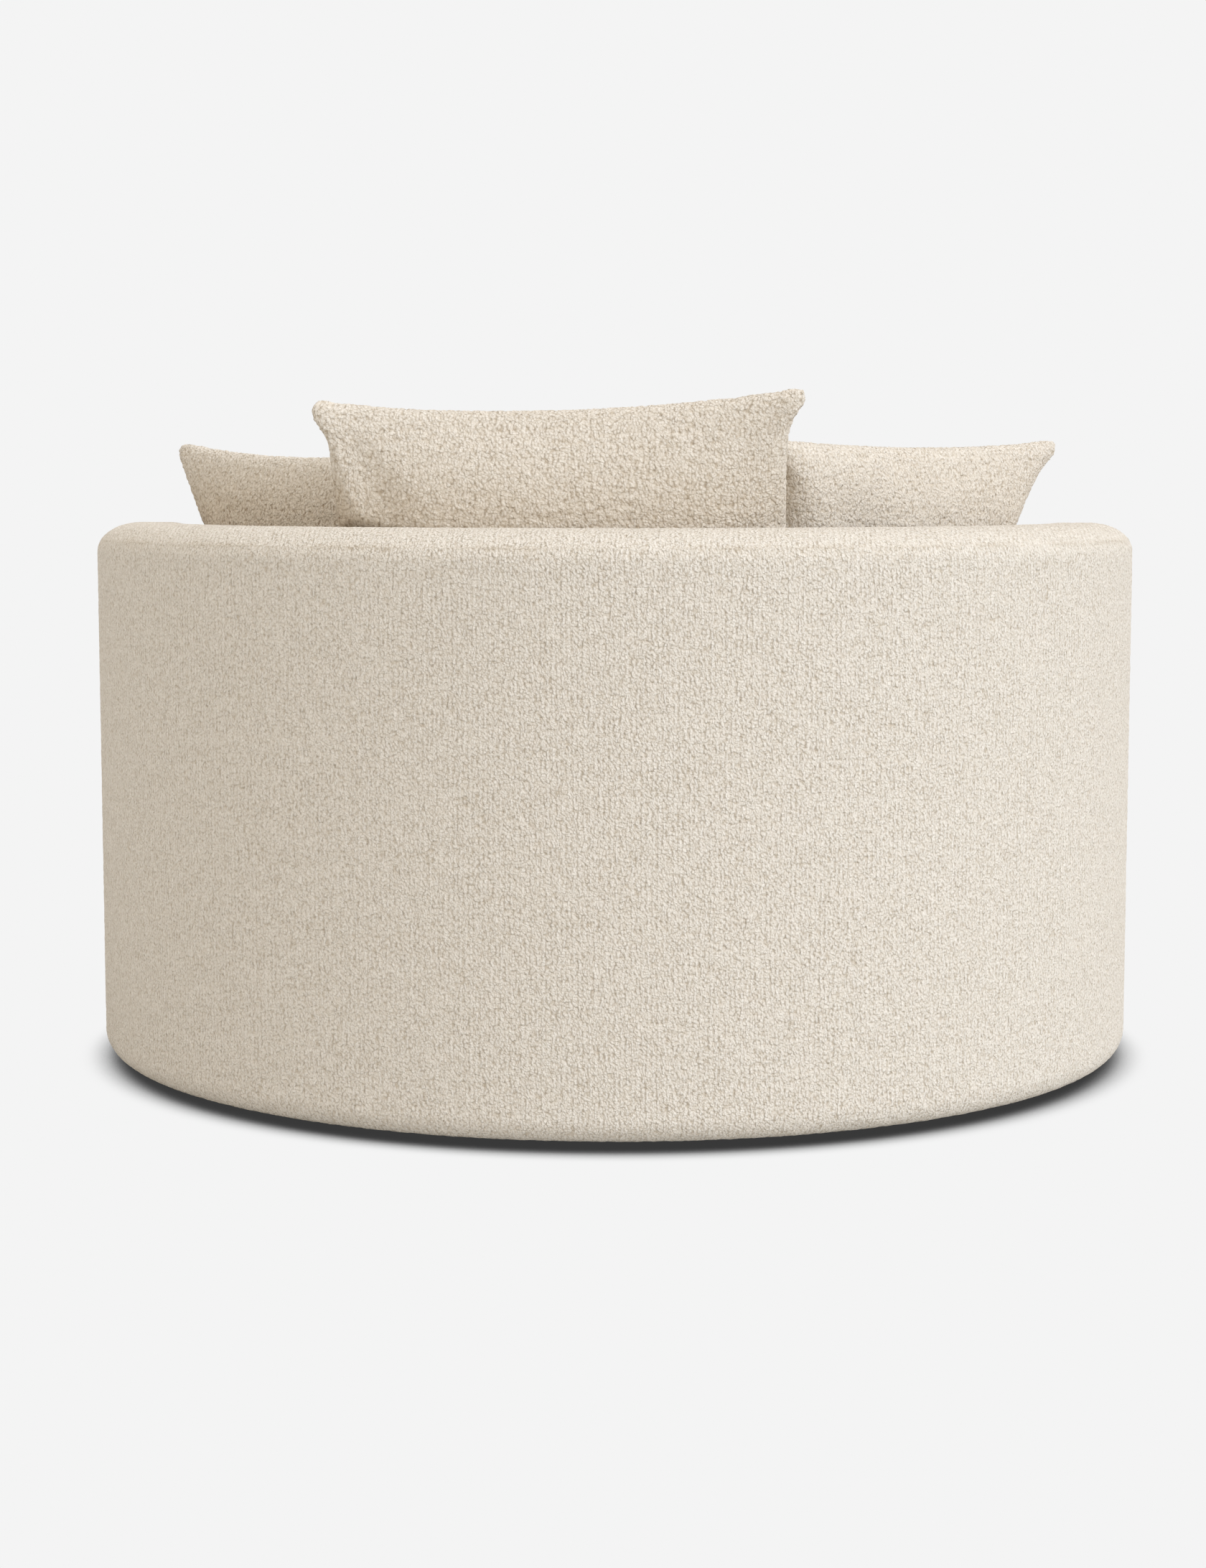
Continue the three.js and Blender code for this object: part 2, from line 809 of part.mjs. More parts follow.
function addSeatCushion() {
  const low = cushionBottom;
  const high = cushionTop;
  const outer = loft(cushionLevels(cushionInset, low, high, cushionCrown, cushionEdge, 2));
  const wall = cushionWall;
  const hollow = loft(
    cushionLevels(
      cushionInset + wall,
      low + wall,
      high - wall,
      cushionCrown,
      cushionEdge,
      1,
    ),
  );
  const rear = innerRadius - cushionInset;
  const slotAngle = seatZipHalfAngle + seamGapAngle;
  const slot = seatZipSector(rear - cutOverrun / 2, rear + wall, seatZipWidth / 2 + fitGap, slotAngle);
  addPiece("seat_cushion_cover", cut(outer, hollow, slot), "boucle");
  const inside = wall + coreGap;
  addPiece(
    "seat_cushion_core",
    loft(
      cushionLevels(
        cushionInset + inside,
        low + inside,
        high - inside,
        cushionCrown,
        cushionEdge,
        1,
      ),
    ),
    "foam",
  );
  const tapeOuter = rear - seatZipRecess;
  addPiece(
    "seat_zip",
    seatZipSector(tapeOuter - zipTapeThickness, tapeOuter, seatZipWidth / 2, seatZipHalfAngle),
    "zip",
  );
  const sliderMiddle = (low + high) / 2;
  const slider = new THREE.BoxGeometry(zipSliderLength, zipSliderHeight, zipSliderWidth);
  slider.translate(0, tapeOuter + fitGap + zipSliderHeight / 2, sliderMiddle);
  const sliderAngle = seatZipHalfAngle - THREE.MathUtils.radToDeg(zipSliderLength / rear);
  slider.rotateZ(-THREE.MathUtils.degToRad(sliderAngle));
  addPiece("seat_zip_slider", solidOf(slider), "zip");
}

// Back pillows. A pillow's own frame has X along its width, Y towards its back and Z up its height,
// and starts from the middle of its bottom seam, sunk below the seat's top by `pillowSink`.

function pillowFrame(pillow) {
  const foot = planPoint(innerRadius - pillow.footFromWall, pillow.facing).add(
    planPoint(pillow.footAside, pillow.facing + 90),
  );
  const turn = new THREE.Matrix4().makeRotationZ(-THREE.MathUtils.degToRad(pillow.facing));
  const lean = new THREE.Matrix4().makeRotationX(-THREE.MathUtils.degToRad(pillow.lean));
  const roll = new THREE.Matrix4().makeRotationY(THREE.MathUtils.degToRad(pillow.roll));
  return new THREE.Matrix4()
    .makeTranslation(foot.x, foot.y, pillowRest - pillowSink)
    .multiply(turn)
    .multiply(lean)
    .multiply(roll);
}

// Half of a pillow's thickness at the place (u, v), each from -1 to 1 across its width and height
function halfThicknessAt(u, v) {
  const fullness = (t) => Math.max(0, 1 - Math.abs(t) ** pillowFullnessPower) ** pillowEdgePower;
  const settled = 1 - pillowBottomFullnessShare * v;
  return (pillowThickness / 2) * settled * fullness(u) * fullness(v);
}

// The bend of a pillow's middle surface towards its back
function bowAt(pillow, v) {
  return pillow.bow * (1 - v ** 2);
}

// A point of a pillow's skin, `inset` inside it, in the pillow's own frame
function pillowPoint(pillow, u, v, side, inset) {
  const halfWidth = pillowWidth / 2 - pillowDrawIn * (1 - v ** 2) - 2 * inset;
  const sag = v > 0 ? pillowDrawIn * (1 - u ** 2) * v : 0;
  const halfHeight = pillowHeight / 2 - (v > 0 ? 2 * inset : 0);
  const half = halfThicknessAt(u, v) * (1 - (2 * inset) / pillowThickness);
  return new THREE.Vector3(
    u * halfWidth,
    bowAt(pillow, v) + side * half,
    pillowHeight / 2 + v * halfHeight - sag,
  );
}

// Moves a point along `facing` until it lies inside the wall and its rolled top
function keepInWall(point, facing, clearance) {
  const above = Math.max(0, point.z - (wallHeight - topEdgeDrop / 2));
  const limit = innerRadius - clearance + wallRollSlope * above;
  const reach = Math.hypot(point.x, point.y);
  if (reach <= limit) return;
  const along = planPoint(1, facing);
  const run = point.x * along.x + point.y * along.y;
  const rest = Math.sqrt(Math.max(0, run ** 2 - reach ** 2 + limit ** 2));
  point.x -= (run - rest) * along.x;
  point.y -= (run - rest) * along.y;
}

// Moves a point of a side pillow off the front face of the centre pillow
function keepOffCentrePillow(point, side, clearance) {
  const frame = pillowFrame(centrePillow);
  const local = point.clone().applyMatrix4(frame.clone().invert());
  const u = (2 * local.x) / pillowWidth;
  const v = (2 * local.z) / pillowHeight - 1;
  const beyond = Math.max(0, Math.abs(u) - 1) + Math.max(0, Math.abs(v) - 1);
  const within = (t) => THREE.MathUtils.clamp(t, -1, 1);
  const front = bowAt(centrePillow, within(v)) - halfThicknessAt(within(u), within(v));
  const least = side < 0 ? pillowLeastThickness : 0;
  const limit = front - clearance - least + pillowReleaseRate * beyond;
  if (local.y <= limit) return;
  local.y = limit;
  point.copy(local.applyMatrix4(frame));
}

// Slides a point that lies below the seat's top up along the pillow
function settle(point, frame, clearance) {
  const up = new THREE.Vector3().setFromMatrixColumn(frame, 2);
  const depth = pillowRest + clearance - point.z;
  if (depth > 0) point.addScaledVector(up, depth / up.z);
}

// Keeps a side pillow's point on its own side of the chair's middle
function keepOnOwnSide(point, pillow, clearance) {
  const sign = Math.sign(pillow.facing);
  point.x = sign * Math.max(sign * point.x, clearance);
}

// A pillow's solid, `inset` inside its skin and scaled about the middle of its bottom
function pillowSolid(pillow, inset, scale = 1) {
  const steps = pillowGridSteps;
  const frame = pillowFrame(pillow);
  const positions = [];
  const index = [];
  const places = new Map();
  const share = (i) => Math.sin((Math.PI / 2) * ((2 * i) / steps - 1));
  const vertex = (i, j, side) => {
    const edge = i === 0 || j === 0 || i === steps || j === steps;
    const key = `${i},${j},${edge ? 0 : side}`;
    if (!places.has(key)) {
      const point = pillowPoint(pillow, share(i), share(j), edge ? 0 : side, inset);
      point.applyMatrix4(frame);
      settle(point, frame, inset);
      keepInWall(point, pillow.facing, pillowClearance + inset);
      if (pillow !== centrePillow) {
        keepOffCentrePillow(point, side, pillowClearance + inset);
        keepOnOwnSide(point, pillow, pillowClearance + inset);
      }
      point.z = Math.max(point.z, pillowRest + inset);
      places.set(key, positions.length / 3);
      positions.push(point.x, point.y, point.z);
    }
    return places.get(key);
  };
  for (const side of [1, -1]) {
    for (let i = 0; i < steps; i++) {
      for (let j = 0; j < steps; j++) {
        const a = vertex(i, j, side);
        const b = vertex(i + 1, j, side);
        const c = vertex(i + 1, j + 1, side);
        const d = vertex(i, j + 1, side);
        const risesOut = i < steps / 2 === j < steps / 2;
        const face = risesOut ? [a, b, c, a, c, d] : [a, b, d, b, c, d];
        index.push(...(side < 0 ? face : face.reverse()));
      }
    }
  }
  const geometry = new THREE.BufferGeometry();
  geometry.setAttribute("position", new THREE.Float32BufferAttribute(positions, 3));
  geometry.setIndex(index);
  const foot = new THREE.Vector3().setFromMatrixPosition(frame);
  settle(foot, frame, inset);
  geometry.translate(-foot.x, -foot.y, -foot.z);
  geometry.scale(scale, scale, scale);
  geometry.translate(foot.x, foot.y, foot.z);
  return solidOf(geometry);
}

// A block in the pillow's flattened bottom, from `low` to `high` above the seat
function seamBlock(pillow, middle, length, width, low, high) {
  const block = new THREE.BoxGeometry(length, width, high - low);
  block.translate(middle, 0, (low + high) / 2);
  block.rotateZ(-THREE.MathUtils.degToRad(pillow.facing));
  const frame = pillowFrame(pillow);
  const foot = new THREE.Vector3().setFromMatrixPosition(frame);
  settle(foot, frame, 0);
  return solidOf(block.translate(foot.x, foot.y, foot.z));
}

function addPillow(pillow) {
  const slot = seamBlock(
    pillow,
    0,
    pillowZipLength + 2 * fitGap,
    pillowZipWidth + 2 * fitGap,
    -cutOverrun,
    pillowWall + coreGap,
  );
  const outer = pillowSolid(pillow, 0);
  const hollow = pillowSolid(pillow, pillowWall);
  addPiece(`${pillow.name}_cover`, cut(outer, hollow, slot), "boucle");
  const roomInside = common(hollow, pillowSolid(pillow, pillowWall + fitGap));
  const insert = common(pillowSolid(pillow, pillowWall, insertScale), roomInside);
  addPiece(`${pillow.name}_insert`, insert, "lining");
  const zipTop = pillowWall - fitGap;
  addPiece(
    `${pillow.name}_zip`,
    seamBlock(pillow, 0, pillowZipLength, pillowZipWidth, zipTop - pillowZipThickness, zipTop),
    "zip",
  );
  addPiece(
    `${pillow.name}_zip_slider`,
    seamBlock(
      pillow,
      pillowZipLength / 2 - zipSliderLength,
      zipSliderLength,
      zipSliderWidth,
      fitGap,
      zipTop - pillowZipThickness - fitGap,
    ),
    "zip",
  );
}

addFrame();
addSkins();
addPlatform();
addPadding();
addCovers();
addUnderside();
addSeatCushion();
for (const pillow of [centrePillow, leftPillow, rightPillow]) addPillow(pillow);

export default chair;
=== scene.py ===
"""A round cuddle chair in nubby cream boucle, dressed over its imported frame.

Metres, +Z up, the sitter faces -Y. Angles round the drum are radians from the middle of the back
(+Y) and grow towards +X, which is the side called left.
"""

import math

import bmesh
import bpy
import numpy as np
from bpy.props import FloatProperty, FloatVectorProperty, IntProperty, PointerProperty
from bpy.types import Operator, Panel, PropertyGroup
from mathutils import Matrix, Vector
from mathutils.bvhtree import BVHTree


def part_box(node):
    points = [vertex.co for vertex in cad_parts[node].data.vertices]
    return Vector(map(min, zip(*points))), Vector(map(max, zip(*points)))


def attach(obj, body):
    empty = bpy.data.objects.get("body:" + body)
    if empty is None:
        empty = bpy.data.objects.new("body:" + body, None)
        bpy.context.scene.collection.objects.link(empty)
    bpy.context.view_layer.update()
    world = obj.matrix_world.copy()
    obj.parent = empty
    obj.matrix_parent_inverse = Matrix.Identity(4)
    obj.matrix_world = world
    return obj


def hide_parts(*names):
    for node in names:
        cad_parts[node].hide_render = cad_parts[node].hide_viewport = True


bl_info = {
    "name": "Cuddle Chair",
    "version": (1, 0, 0),
    "blender": (4, 5, 0),
    "location": "View3D > Sidebar > Cuddle Chair",
    "description": "Upholsters a round cuddle chair: covers, padding, seat cushion and back pillows",
    "category": "Add Mesh",
}

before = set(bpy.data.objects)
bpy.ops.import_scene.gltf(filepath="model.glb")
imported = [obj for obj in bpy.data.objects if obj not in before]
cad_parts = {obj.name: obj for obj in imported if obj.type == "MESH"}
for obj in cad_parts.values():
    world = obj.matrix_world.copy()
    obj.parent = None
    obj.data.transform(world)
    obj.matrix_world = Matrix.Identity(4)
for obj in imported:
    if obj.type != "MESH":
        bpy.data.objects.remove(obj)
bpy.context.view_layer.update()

MM = 0.001
BODY = "chair_body"


def linear(hex_code):
    """An sRGB hex value as a linear colour."""
    parts = [int(hex_code[i:i + 2], 16) / 255 for i in (1, 3, 5)]
    return tuple(p / 12.92 if p <= 0.04045 else ((p + 0.055) / 1.055) ** 2.4 for p in parts)


def mm(value):
    return value * MM


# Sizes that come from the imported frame

DRUM_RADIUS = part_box("outer_back_cover")[1].y
CUSHION_GAP = mm(8)
INNER_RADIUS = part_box("seat_cushion_cover")[1].y + CUSHION_GAP
WALL_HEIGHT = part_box("top_band")[1].z
BAND_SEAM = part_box("top_band")[0].z
WALL_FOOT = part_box("left_arm_front_band")[0].z
FLOOR_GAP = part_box("outer_back_cover")[0].z
DECK_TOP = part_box("front_cover")[1].z
RAIL_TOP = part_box("outer_back_wadding")[1].z
CUSHION_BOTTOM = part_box("seat_cushion_cover")[0].z
CUSHION_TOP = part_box("seat_cushion_cover")[1].z
PILLOW_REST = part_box("centre_pillow_cover")[0].z
SEAT_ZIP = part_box("seat_zip")

# Sizes of the upholstery

PANEL_THICKNESS = mm(3)
FILLING_GAP = mm(4)
WELD = mm(0.05)
GROOVE_WIDTH = mm(3.6)
BACK_PITCH = mm(30)
LARGE_LOOPS = (mm(9.5), mm(12))
WALL_RELIEF = mm(0.9)
QUILT_PITCHES = (mm(14), mm(40))
QUILT_CLEARANCE = mm(3)


class ChairSizes(PropertyGroup):
    drum_radius: FloatProperty(
        name="Drum radius", description="Outside radius of the drum",
        default=DRUM_RADIUS, unit="LENGTH",
    )
    inner_radius: FloatProperty(
        name="Inner radius", description="Radius inside the padded wall",
        default=INNER_RADIUS, unit="LENGTH",
    )
    wall_height: FloatProperty(
        name="Wall height", description="Floor to the top of the wall",
        default=WALL_HEIGHT, unit="LENGTH",
    )
    arm_end_angle: FloatProperty(
        name="Arm end", description="Angle from the middle of the back to each arm's end",
        default=math.radians(87), subtype="ANGLE",
    )
    arm_corner: FloatProperty(
        name="Arm corner", description="Radius of the upright corners of an arm's end",
        default=mm(62), unit="LENGTH",
    )
    roll_drop: FloatProperty(
        name="Top roll", description="Height over which the wall's top rolls over",
        default=mm(42), unit="LENGTH",
    )
    bottom_edge: FloatProperty(
        name="Lower edge", description="Radius with which the cover curls under the drum",
        default=mm(32), unit="LENGTH",
    )
    hem: FloatProperty(
        name="Hem", description="Width of the cover that is stapled under the base",
        default=mm(30), unit="LENGTH",
    )
    deck_edge: FloatProperty(
        name="Deck edge", description="Radius of the edge of the platform in front",
        default=mm(12), unit="LENGTH",
    )
    deck_flap: FloatProperty(
        name="Deck flap", description="Width of the front cover that lies on the platform",
        default=mm(28), unit="LENGTH",
    )
    band_lap: FloatProperty(
        name="Band lap", description="Depth of the arm's front band beside its end face",
        default=mm(24), unit="LENGTH",
    )
    cushion_corner: FloatProperty(
        name="Cushion corner", description="Radius of the corners in front of the arms",
        default=mm(46), unit="LENGTH",
    )
    cushion_edge: FloatProperty(
        name="Cushion edge", description="Rounding of the seat cushion's boxed edges",
        default=mm(16), unit="LENGTH",
    )
    cushion_crown: FloatProperty(
        name="Cushion crown", description="Height of the seat cushion's crown",
        default=mm(20), unit="LENGTH",
    )
    cushion_inset: FloatProperty(
        name="Cushion gap", description="Room between the seat cushion and the wall",
        default=CUSHION_GAP, unit="LENGTH",
    )
    pillow_width: FloatProperty(
        name="Pillow width", description="Width of a back pillow between its ears",
        default=mm(640), unit="LENGTH",
    )
    pillow_height: FloatProperty(
        name="Pillow height", description="Height of a back pillow between its ears",
        default=mm(585), unit="LENGTH",
    )
    pillow_thickness: FloatProperty(
        name="Pillow thickness", description="Thickness of a back pillow in its middle",
        default=mm(190), unit="LENGTH",
    )
    pillow_draw_in: FloatProperty(
        name="Pillow sides", description="How far a pillow's edges draw in between its ears",
        default=mm(22), unit="LENGTH",
    )


class ClothSettings(PropertyGroup):
    nub_across: FloatProperty(
        name="Nub width", description="Pitch of the loops across the cloth",
        default=mm(2.9), unit="LENGTH",
    )
    nub_along: FloatProperty(
        name="Nub length", description="Pitch of the loops along the cloth",
        default=mm(3.8), unit="LENGTH",
    )
    nub_depth: FloatProperty(
        name="Nub depth", description="Height of the loops on the pillows",
        default=mm(2.2), unit="LENGTH",
    )
    fine_pitch: FloatProperty(
        name="Fine mesh", description="Mesh size on the top band and the arms",
        default=mm(2.7), unit="LENGTH",
    )
    wall_pitch: FloatProperty(
        name="Wall mesh", description="Mesh size on the large panels",
        default=mm(4.6), unit="LENGTH",
    )
    pressure: FloatProperty(
        name="Filling pressure", description="Pressure that fills the cushion and the pillows",
        default=4.0, min=0,
    )
    fill_frames: IntProperty(
        name="Filling steps", description="Steps of the simulation that fills them",
        default=16, min=1,
    )


class ChairColours(PropertyGroup):
    loop: FloatVectorProperty(
        name="Loops", description="Ivory of the boucle's loops",
        default=linear("#F9F2E7"), size=3, subtype="COLOR",
    )
    ground: FloatVectorProperty(
        name="Ground", description="Tan yarn that shows between the loops",
        default=linear("#D6C9B6"), size=3, subtype="COLOR",
    )
    # Painted shade: the brown that the cloth's colour turns to in its deepest gaps and where the mesh
    # asks for painted shade.
    painted_gap_shade: FloatVectorProperty(
        name="Gaps", description="Brown shade between parted loops",
        default=linear("#9A8367"), size=3, subtype="COLOR",
    )
    foam: FloatVectorProperty(
        name="Foam", description="Cushion foam", default=linear("#E9DCA8"), size=3, subtype="COLOR",
    )
    wadding: FloatVectorProperty(
        name="Wadding", description="Polyester wadding",
        default=linear("#F1EFE9"), size=3, subtype="COLOR",
    )
    plywood: FloatVectorProperty(
        name="Plywood", description="Birch face of the plywood",
        default=linear("#D9B98A"), size=3, subtype="COLOR",
    )
    lumber: FloatVectorProperty(
        name="Softwood", description="Early wood of the planed rails",
        default=linear("#DDBB87"), size=3, subtype="COLOR",
    )
    hardboard: FloatVectorProperty(
        name="Hardboard", description="Pressed fibre board",
        default=linear("#8A6544"), size=3, subtype="COLOR",
    )
    webbing: FloatVectorProperty(
        name="Webbing", description="Elastic webbing",
        default=linear("#2C2A29"), size=3, subtype="COLOR",
    )
    cambric: FloatVectorProperty(
        name="Dust cover", description="Non-woven cloth under the base",
        default=linear("#262525"), size=3, subtype="COLOR",
    )
    glide: FloatVectorProperty(
        name="Glides", description="Nylon of the glides",
        default=linear("#2A2623"), size=3, subtype="COLOR",
    )
    lining: FloatVectorProperty(
        name="Lining", description="Cotton of the linings",
        default=linear("#EEEAE2"), size=3, subtype="COLOR",
    )
    zip_tape: FloatVectorProperty(
        name="Zips", description="Zip tape and its coil",
        default=linear("#D8CFBF"), size=3, subtype="COLOR",
    )


class StudioSettings(PropertyGroup):
    camera_place: FloatVectorProperty(
        name="Camera", description="Place of the camera behind the chair",
        default=(-0.22426, 4.24092, 0.83645), size=3, subtype="TRANSLATION",
    )
    camera_aim: FloatVectorProperty(
        name="Aim", description="Direction in which the camera looks",
        default=(0.05658, -0.99289, -0.10471), size=3, subtype="DIRECTION",
    )
    lens: FloatProperty(
        name="Lens", description="Focal length for a picture 36 mm high", default=64.98, min=1,
    )
    backdrop: FloatVectorProperty(
        name="Backdrop", description="Colour of the floor and the space behind it",
        default=linear("#F4F4F4"), size=3, subtype="COLOR",
    )
    key: FloatProperty(
        name="Key light", description="Irradiance of the soft light from the right",
        default=1.54, min=0,
    )
    top: FloatProperty(
        name="Top light", description="Irradiance of the soft light from above", default=0.35, min=0,
    )
    ambient: FloatProperty(
        name="Fill light", description="Light that comes evenly from all sides", default=0.79, min=0,
    )


# Materials

def add(tree, kind, inputs=None, **settings):
    """Adds a node. `inputs` maps an input's name or number to a value, or to an output to link."""
    made = tree.nodes.new(kind)
    for name, value in settings.items():
        setattr(made, name, value)
    for key, value in (inputs or {}).items():
        if isinstance(value, bpy.types.NodeSocket):
            tree.links.new(value, made.inputs[key])
        else:
            made.inputs[key].default_value = value
    return made


def rgba(colour, gain=1.0):
    return (*[min(1.0, c * gain) for c in colour], 1.0)


def new_material(name, roughness, inputs=None):
    """A material with a Principled shader and nothing else, and its tree and shader."""
    material = bpy.data.materials.new(name)
    material.use_nodes = True
    tree = material.node_tree
    tree.nodes.clear()
    shader = add(tree, "ShaderNodeBsdfPrincipled", {"Roughness": roughness, **(inputs or {})})
    add(tree, "ShaderNodeOutputMaterial", {"Surface": shader.outputs[0]})
    return material, tree, shader


def mix(tree, factor, low, high):
    """A colour between two, as an output."""
    made = add(tree, "ShaderNodeMix", {0: factor, 6: low, 7: high}, data_type="RGBA")
    return made.outputs[2]


def boucle(colours, cloth):
    """Woven boucle: fat ivory loops that stand in wandering upright ribs. The tan ground yarn shows
    only in the narrow gaps between them. A painted brown shade darkens the deepest gaps and the places
    where the mesh asks for painted shade, for the cloth's warm shadows."""
    material, tree, shader = new_material(
        "looped_boucle", 0.95,
        {"Specular IOR Level": 0.15, "Sheen Weight": 0.08, "Sheen Roughness": 0.6},
    )
    place = add(tree, "ShaderNodeAttribute", attribute_name="weave").outputs["Vector"]
    wander = add(tree, "ShaderNodeTexNoise", {"Vector": place, "Scale": 70.0, "Detail": 3.0})
    wander_off = add(
        tree, "ShaderNodeVectorMath", {0: wander.outputs["Color"], 1: (0.5, 0.5, 0.5)},
        operation="SUBTRACT",
    )
    wander_by = add(
        tree, "ShaderNodeVectorMath", {0: wander_off.outputs[0], 1: (mm(5), mm(6), mm(5))},
        operation="MULTIPLY",
    )
    moved = add(
        tree, "ShaderNodeVectorMath", {0: place, 1: wander_by.outputs[0]}, operation="ADD",
    ).outputs[0]
    pitch = (1 / cloth.nub_across, 1 / cloth.nub_along, 1 / cloth.nub_across)
    cells = add(tree, "ShaderNodeVectorMath", {0: moved, 1: pitch}, operation="MULTIPLY")
    loops = add(
        tree, "ShaderNodeTexVoronoi",
        {"Vector": cells.outputs[0], "Scale": 1.0, "Randomness": 0.95},
    ).outputs["Distance"]
    squared = add(tree, "ShaderNodeMath", {0: loops, 1: 2.0}, operation="POWER").outputs[0]
    crown = add(
        tree, "ShaderNodeMapRange", {"Value": squared, 1: 0.0, 2: 0.85, 3: 1.0, 4: 0.0},
    ).outputs[0]
    ribbed = add(
        tree, "ShaderNodeVectorMath", {0: moved, 1: (200, 48, 200)}, operation="MULTIPLY",
    )
    ribs = add(
        tree, "ShaderNodeTexNoise", {"Vector": ribbed.outputs[0], "Scale": 1.0, "Detail": 1.0},
    ).outputs["Fac"]
    yarn = add(
        tree, "ShaderNodeTexNoise",
        {"Vector": moved, "Scale": 430.0, "Detail": 2.0, "Roughness": 0.6},
    ).outputs["Fac"]
    warp = add(
        tree, "ShaderNodeTexWave",
        {
            "Vector": moved, "Scale": math.pi / 10 / mm(6.6), "Distortion": 2.2,
            "Detail": 2.0, "Detail Scale": 2.5,
        },
        wave_type="BANDS", bands_direction="X",
    ).outputs["Fac"]
    columns = add(
        tree, "ShaderNodeMath", {0: warp, 1: 0.45, 2: ribs}, operation="MULTIPLY_ADD",
    ).outputs[0]
    ribbing = add(tree, "ShaderNodeAttribute", attribute_name="ribbing").outputs["Fac"]
    with_ribs = add(
        tree, "ShaderNodeMath", {0: columns, 1: ribbing, 2: crown}, operation="MULTIPLY_ADD",
    ).outputs[0]
    height = add(
        tree, "ShaderNodeMath", {0: yarn, 1: 1.3, 2: with_ribs}, operation="MULTIPLY_ADD",
    ).outputs[0]
    yarn_and_painted_shade = add(tree, "ShaderNodeAttribute", attribute_name="yarn_and_painted_shade").outputs["Fac"]
    shown = add(
        tree, "ShaderNodeMath", {0: yarn_and_painted_shade, 1: 0.5, 2: height}, operation="MULTIPLY_ADD",
    ).outputs[0]
    cover = add(
        tree, "ShaderNodeMapRange", {"Value": shown, 1: 1.3, 2: 2.5, 3: 0.0, 4: 1.0},
    ).outputs[0]
    # Painted shade: the lower the shown height, the more the colour turns to the painted brown gap
    # shade.
    painted_shade = add(
        tree, "ShaderNodeMapRange", {"Value": shown, 1: 0.35, 2: 1.3, 3: 1.0, 4: 0.0},
    ).outputs[0]
    patches = add(
        tree, "ShaderNodeTexNoise", {"Vector": place, "Scale": 30.0, "Detail": 4.0},
    ).outputs["Fac"]
    loop_tone = mix(tree, patches, rgba(colours.loop, 0.96), rgba(colours.loop, 1.04))
    on_ground = mix(tree, cover, rgba(colours.ground), loop_tone)
    colour = mix(tree, painted_shade, on_ground, rgba(colours.painted_gap_shade))
    bump = add(
        tree, "ShaderNodeBump", {"Height": height, "Strength": 1.0, "Distance": mm(1.7)},
    )
    tree.links.new(colour, shader.inputs["Base Color"])
    tree.links.new(bump.outputs[0], shader.inputs["Normal"])
    return material


def object_place(tree):
    return add(tree, "ShaderNodeTexCoord").outputs["Object"]


def open_cell_foam(colours):
    """Cut polyether foam: thousands of burst cells, so its face is pitted and quite matt."""
    material, tree, shader = new_material("cut_foam", 0.9)
    place = object_place(tree)
    cells = add(tree, "ShaderNodeTexVoronoi", {"Vector": place, "Scale": 420.0})
    tint = add(tree, "ShaderNodeTexNoise", {"Vector": place, "Scale": 9.0, "Detail": 3.0})
    pits = mix(tree, cells.outputs["Distance"], rgba(colours.foam), rgba(colours.foam, 0.72))
    colour = mix(tree, tint.outputs["Fac"], pits, rgba(colours.foam, 0.9))
    bump = add(tree, "ShaderNodeBump", {"Height": cells.outputs["Distance"], "Distance": mm(0.8)})
    bump.invert = True
    tree.links.new(colour, shader.inputs["Base Color"])
    tree.links.new(bump.outputs[0], shader.inputs["Normal"])
    return material


def polyester_wadding(colours):
    """Carded wadding: a cloudy white mass of fine fibres."""
    material, tree, shader = new_material("carded_wadding", 0.95, {"Sheen Weight": 0.2})
    place = object_place(tree)
    clouds = add(
        tree, "ShaderNodeTexNoise",
        {"Vector": place, "Scale": 60.0, "Detail": 8.0, "Roughness": 0.7, "Distortion": 1.2},
    )
    colour = mix(tree, clouds.outputs["Fac"], rgba(colours.wadding, 0.8), rgba(colours.wadding))
    bump = add(tree, "ShaderNodeBump", {"Height": clouds.outputs["Fac"], "Distance": mm(2)})
    tree.links.new(colour, shader.inputs["Base Color"])
    tree.links.new(bump.outputs[0], shader.inputs["Normal"])
    return material


def birch_plywood(colours):
    """Sawn birch plywood: thirteen thin plies across 18 mm show as light and dark lines on the
    edges, with a faint grain on the faces."""
    material, tree, shader = new_material("birch_plywood", 0.62)
    place = object_place(tree)
    plies = add(
        tree, "ShaderNodeTexWave",
        {"Vector": place, "Scale": 1 / mm(2.8) / 6.283 * 2, "Distortion": 1.5, "Detail": 2.0},
        wave_type="BANDS", bands_direction="Z",
    )
    stretched = add(tree, "ShaderNodeVectorMath", {0: place, 1: (14, 160, 160)}, operation="MULTIPLY")
    grain = add(
        tree, "ShaderNodeTexNoise", {"Vector": stretched.outputs[0], "Scale": 1.0, "Detail": 6.0},
    )
    faces = mix(tree, grain.outputs["Fac"], rgba(colours.plywood, 0.78), rgba(colours.plywood, 1.1))
    colour = mix(tree, plies.outputs["Fac"], faces, rgba(colours.plywood, 0.66))
    bump = add(tree, "ShaderNodeBump", {"Height": grain.outputs["Fac"], "Distance": mm(0.3)})
    tree.links.new(colour, shader.inputs["Base Color"])
    tree.links.new(bump.outputs[0], shader.inputs["Normal"])
    return material


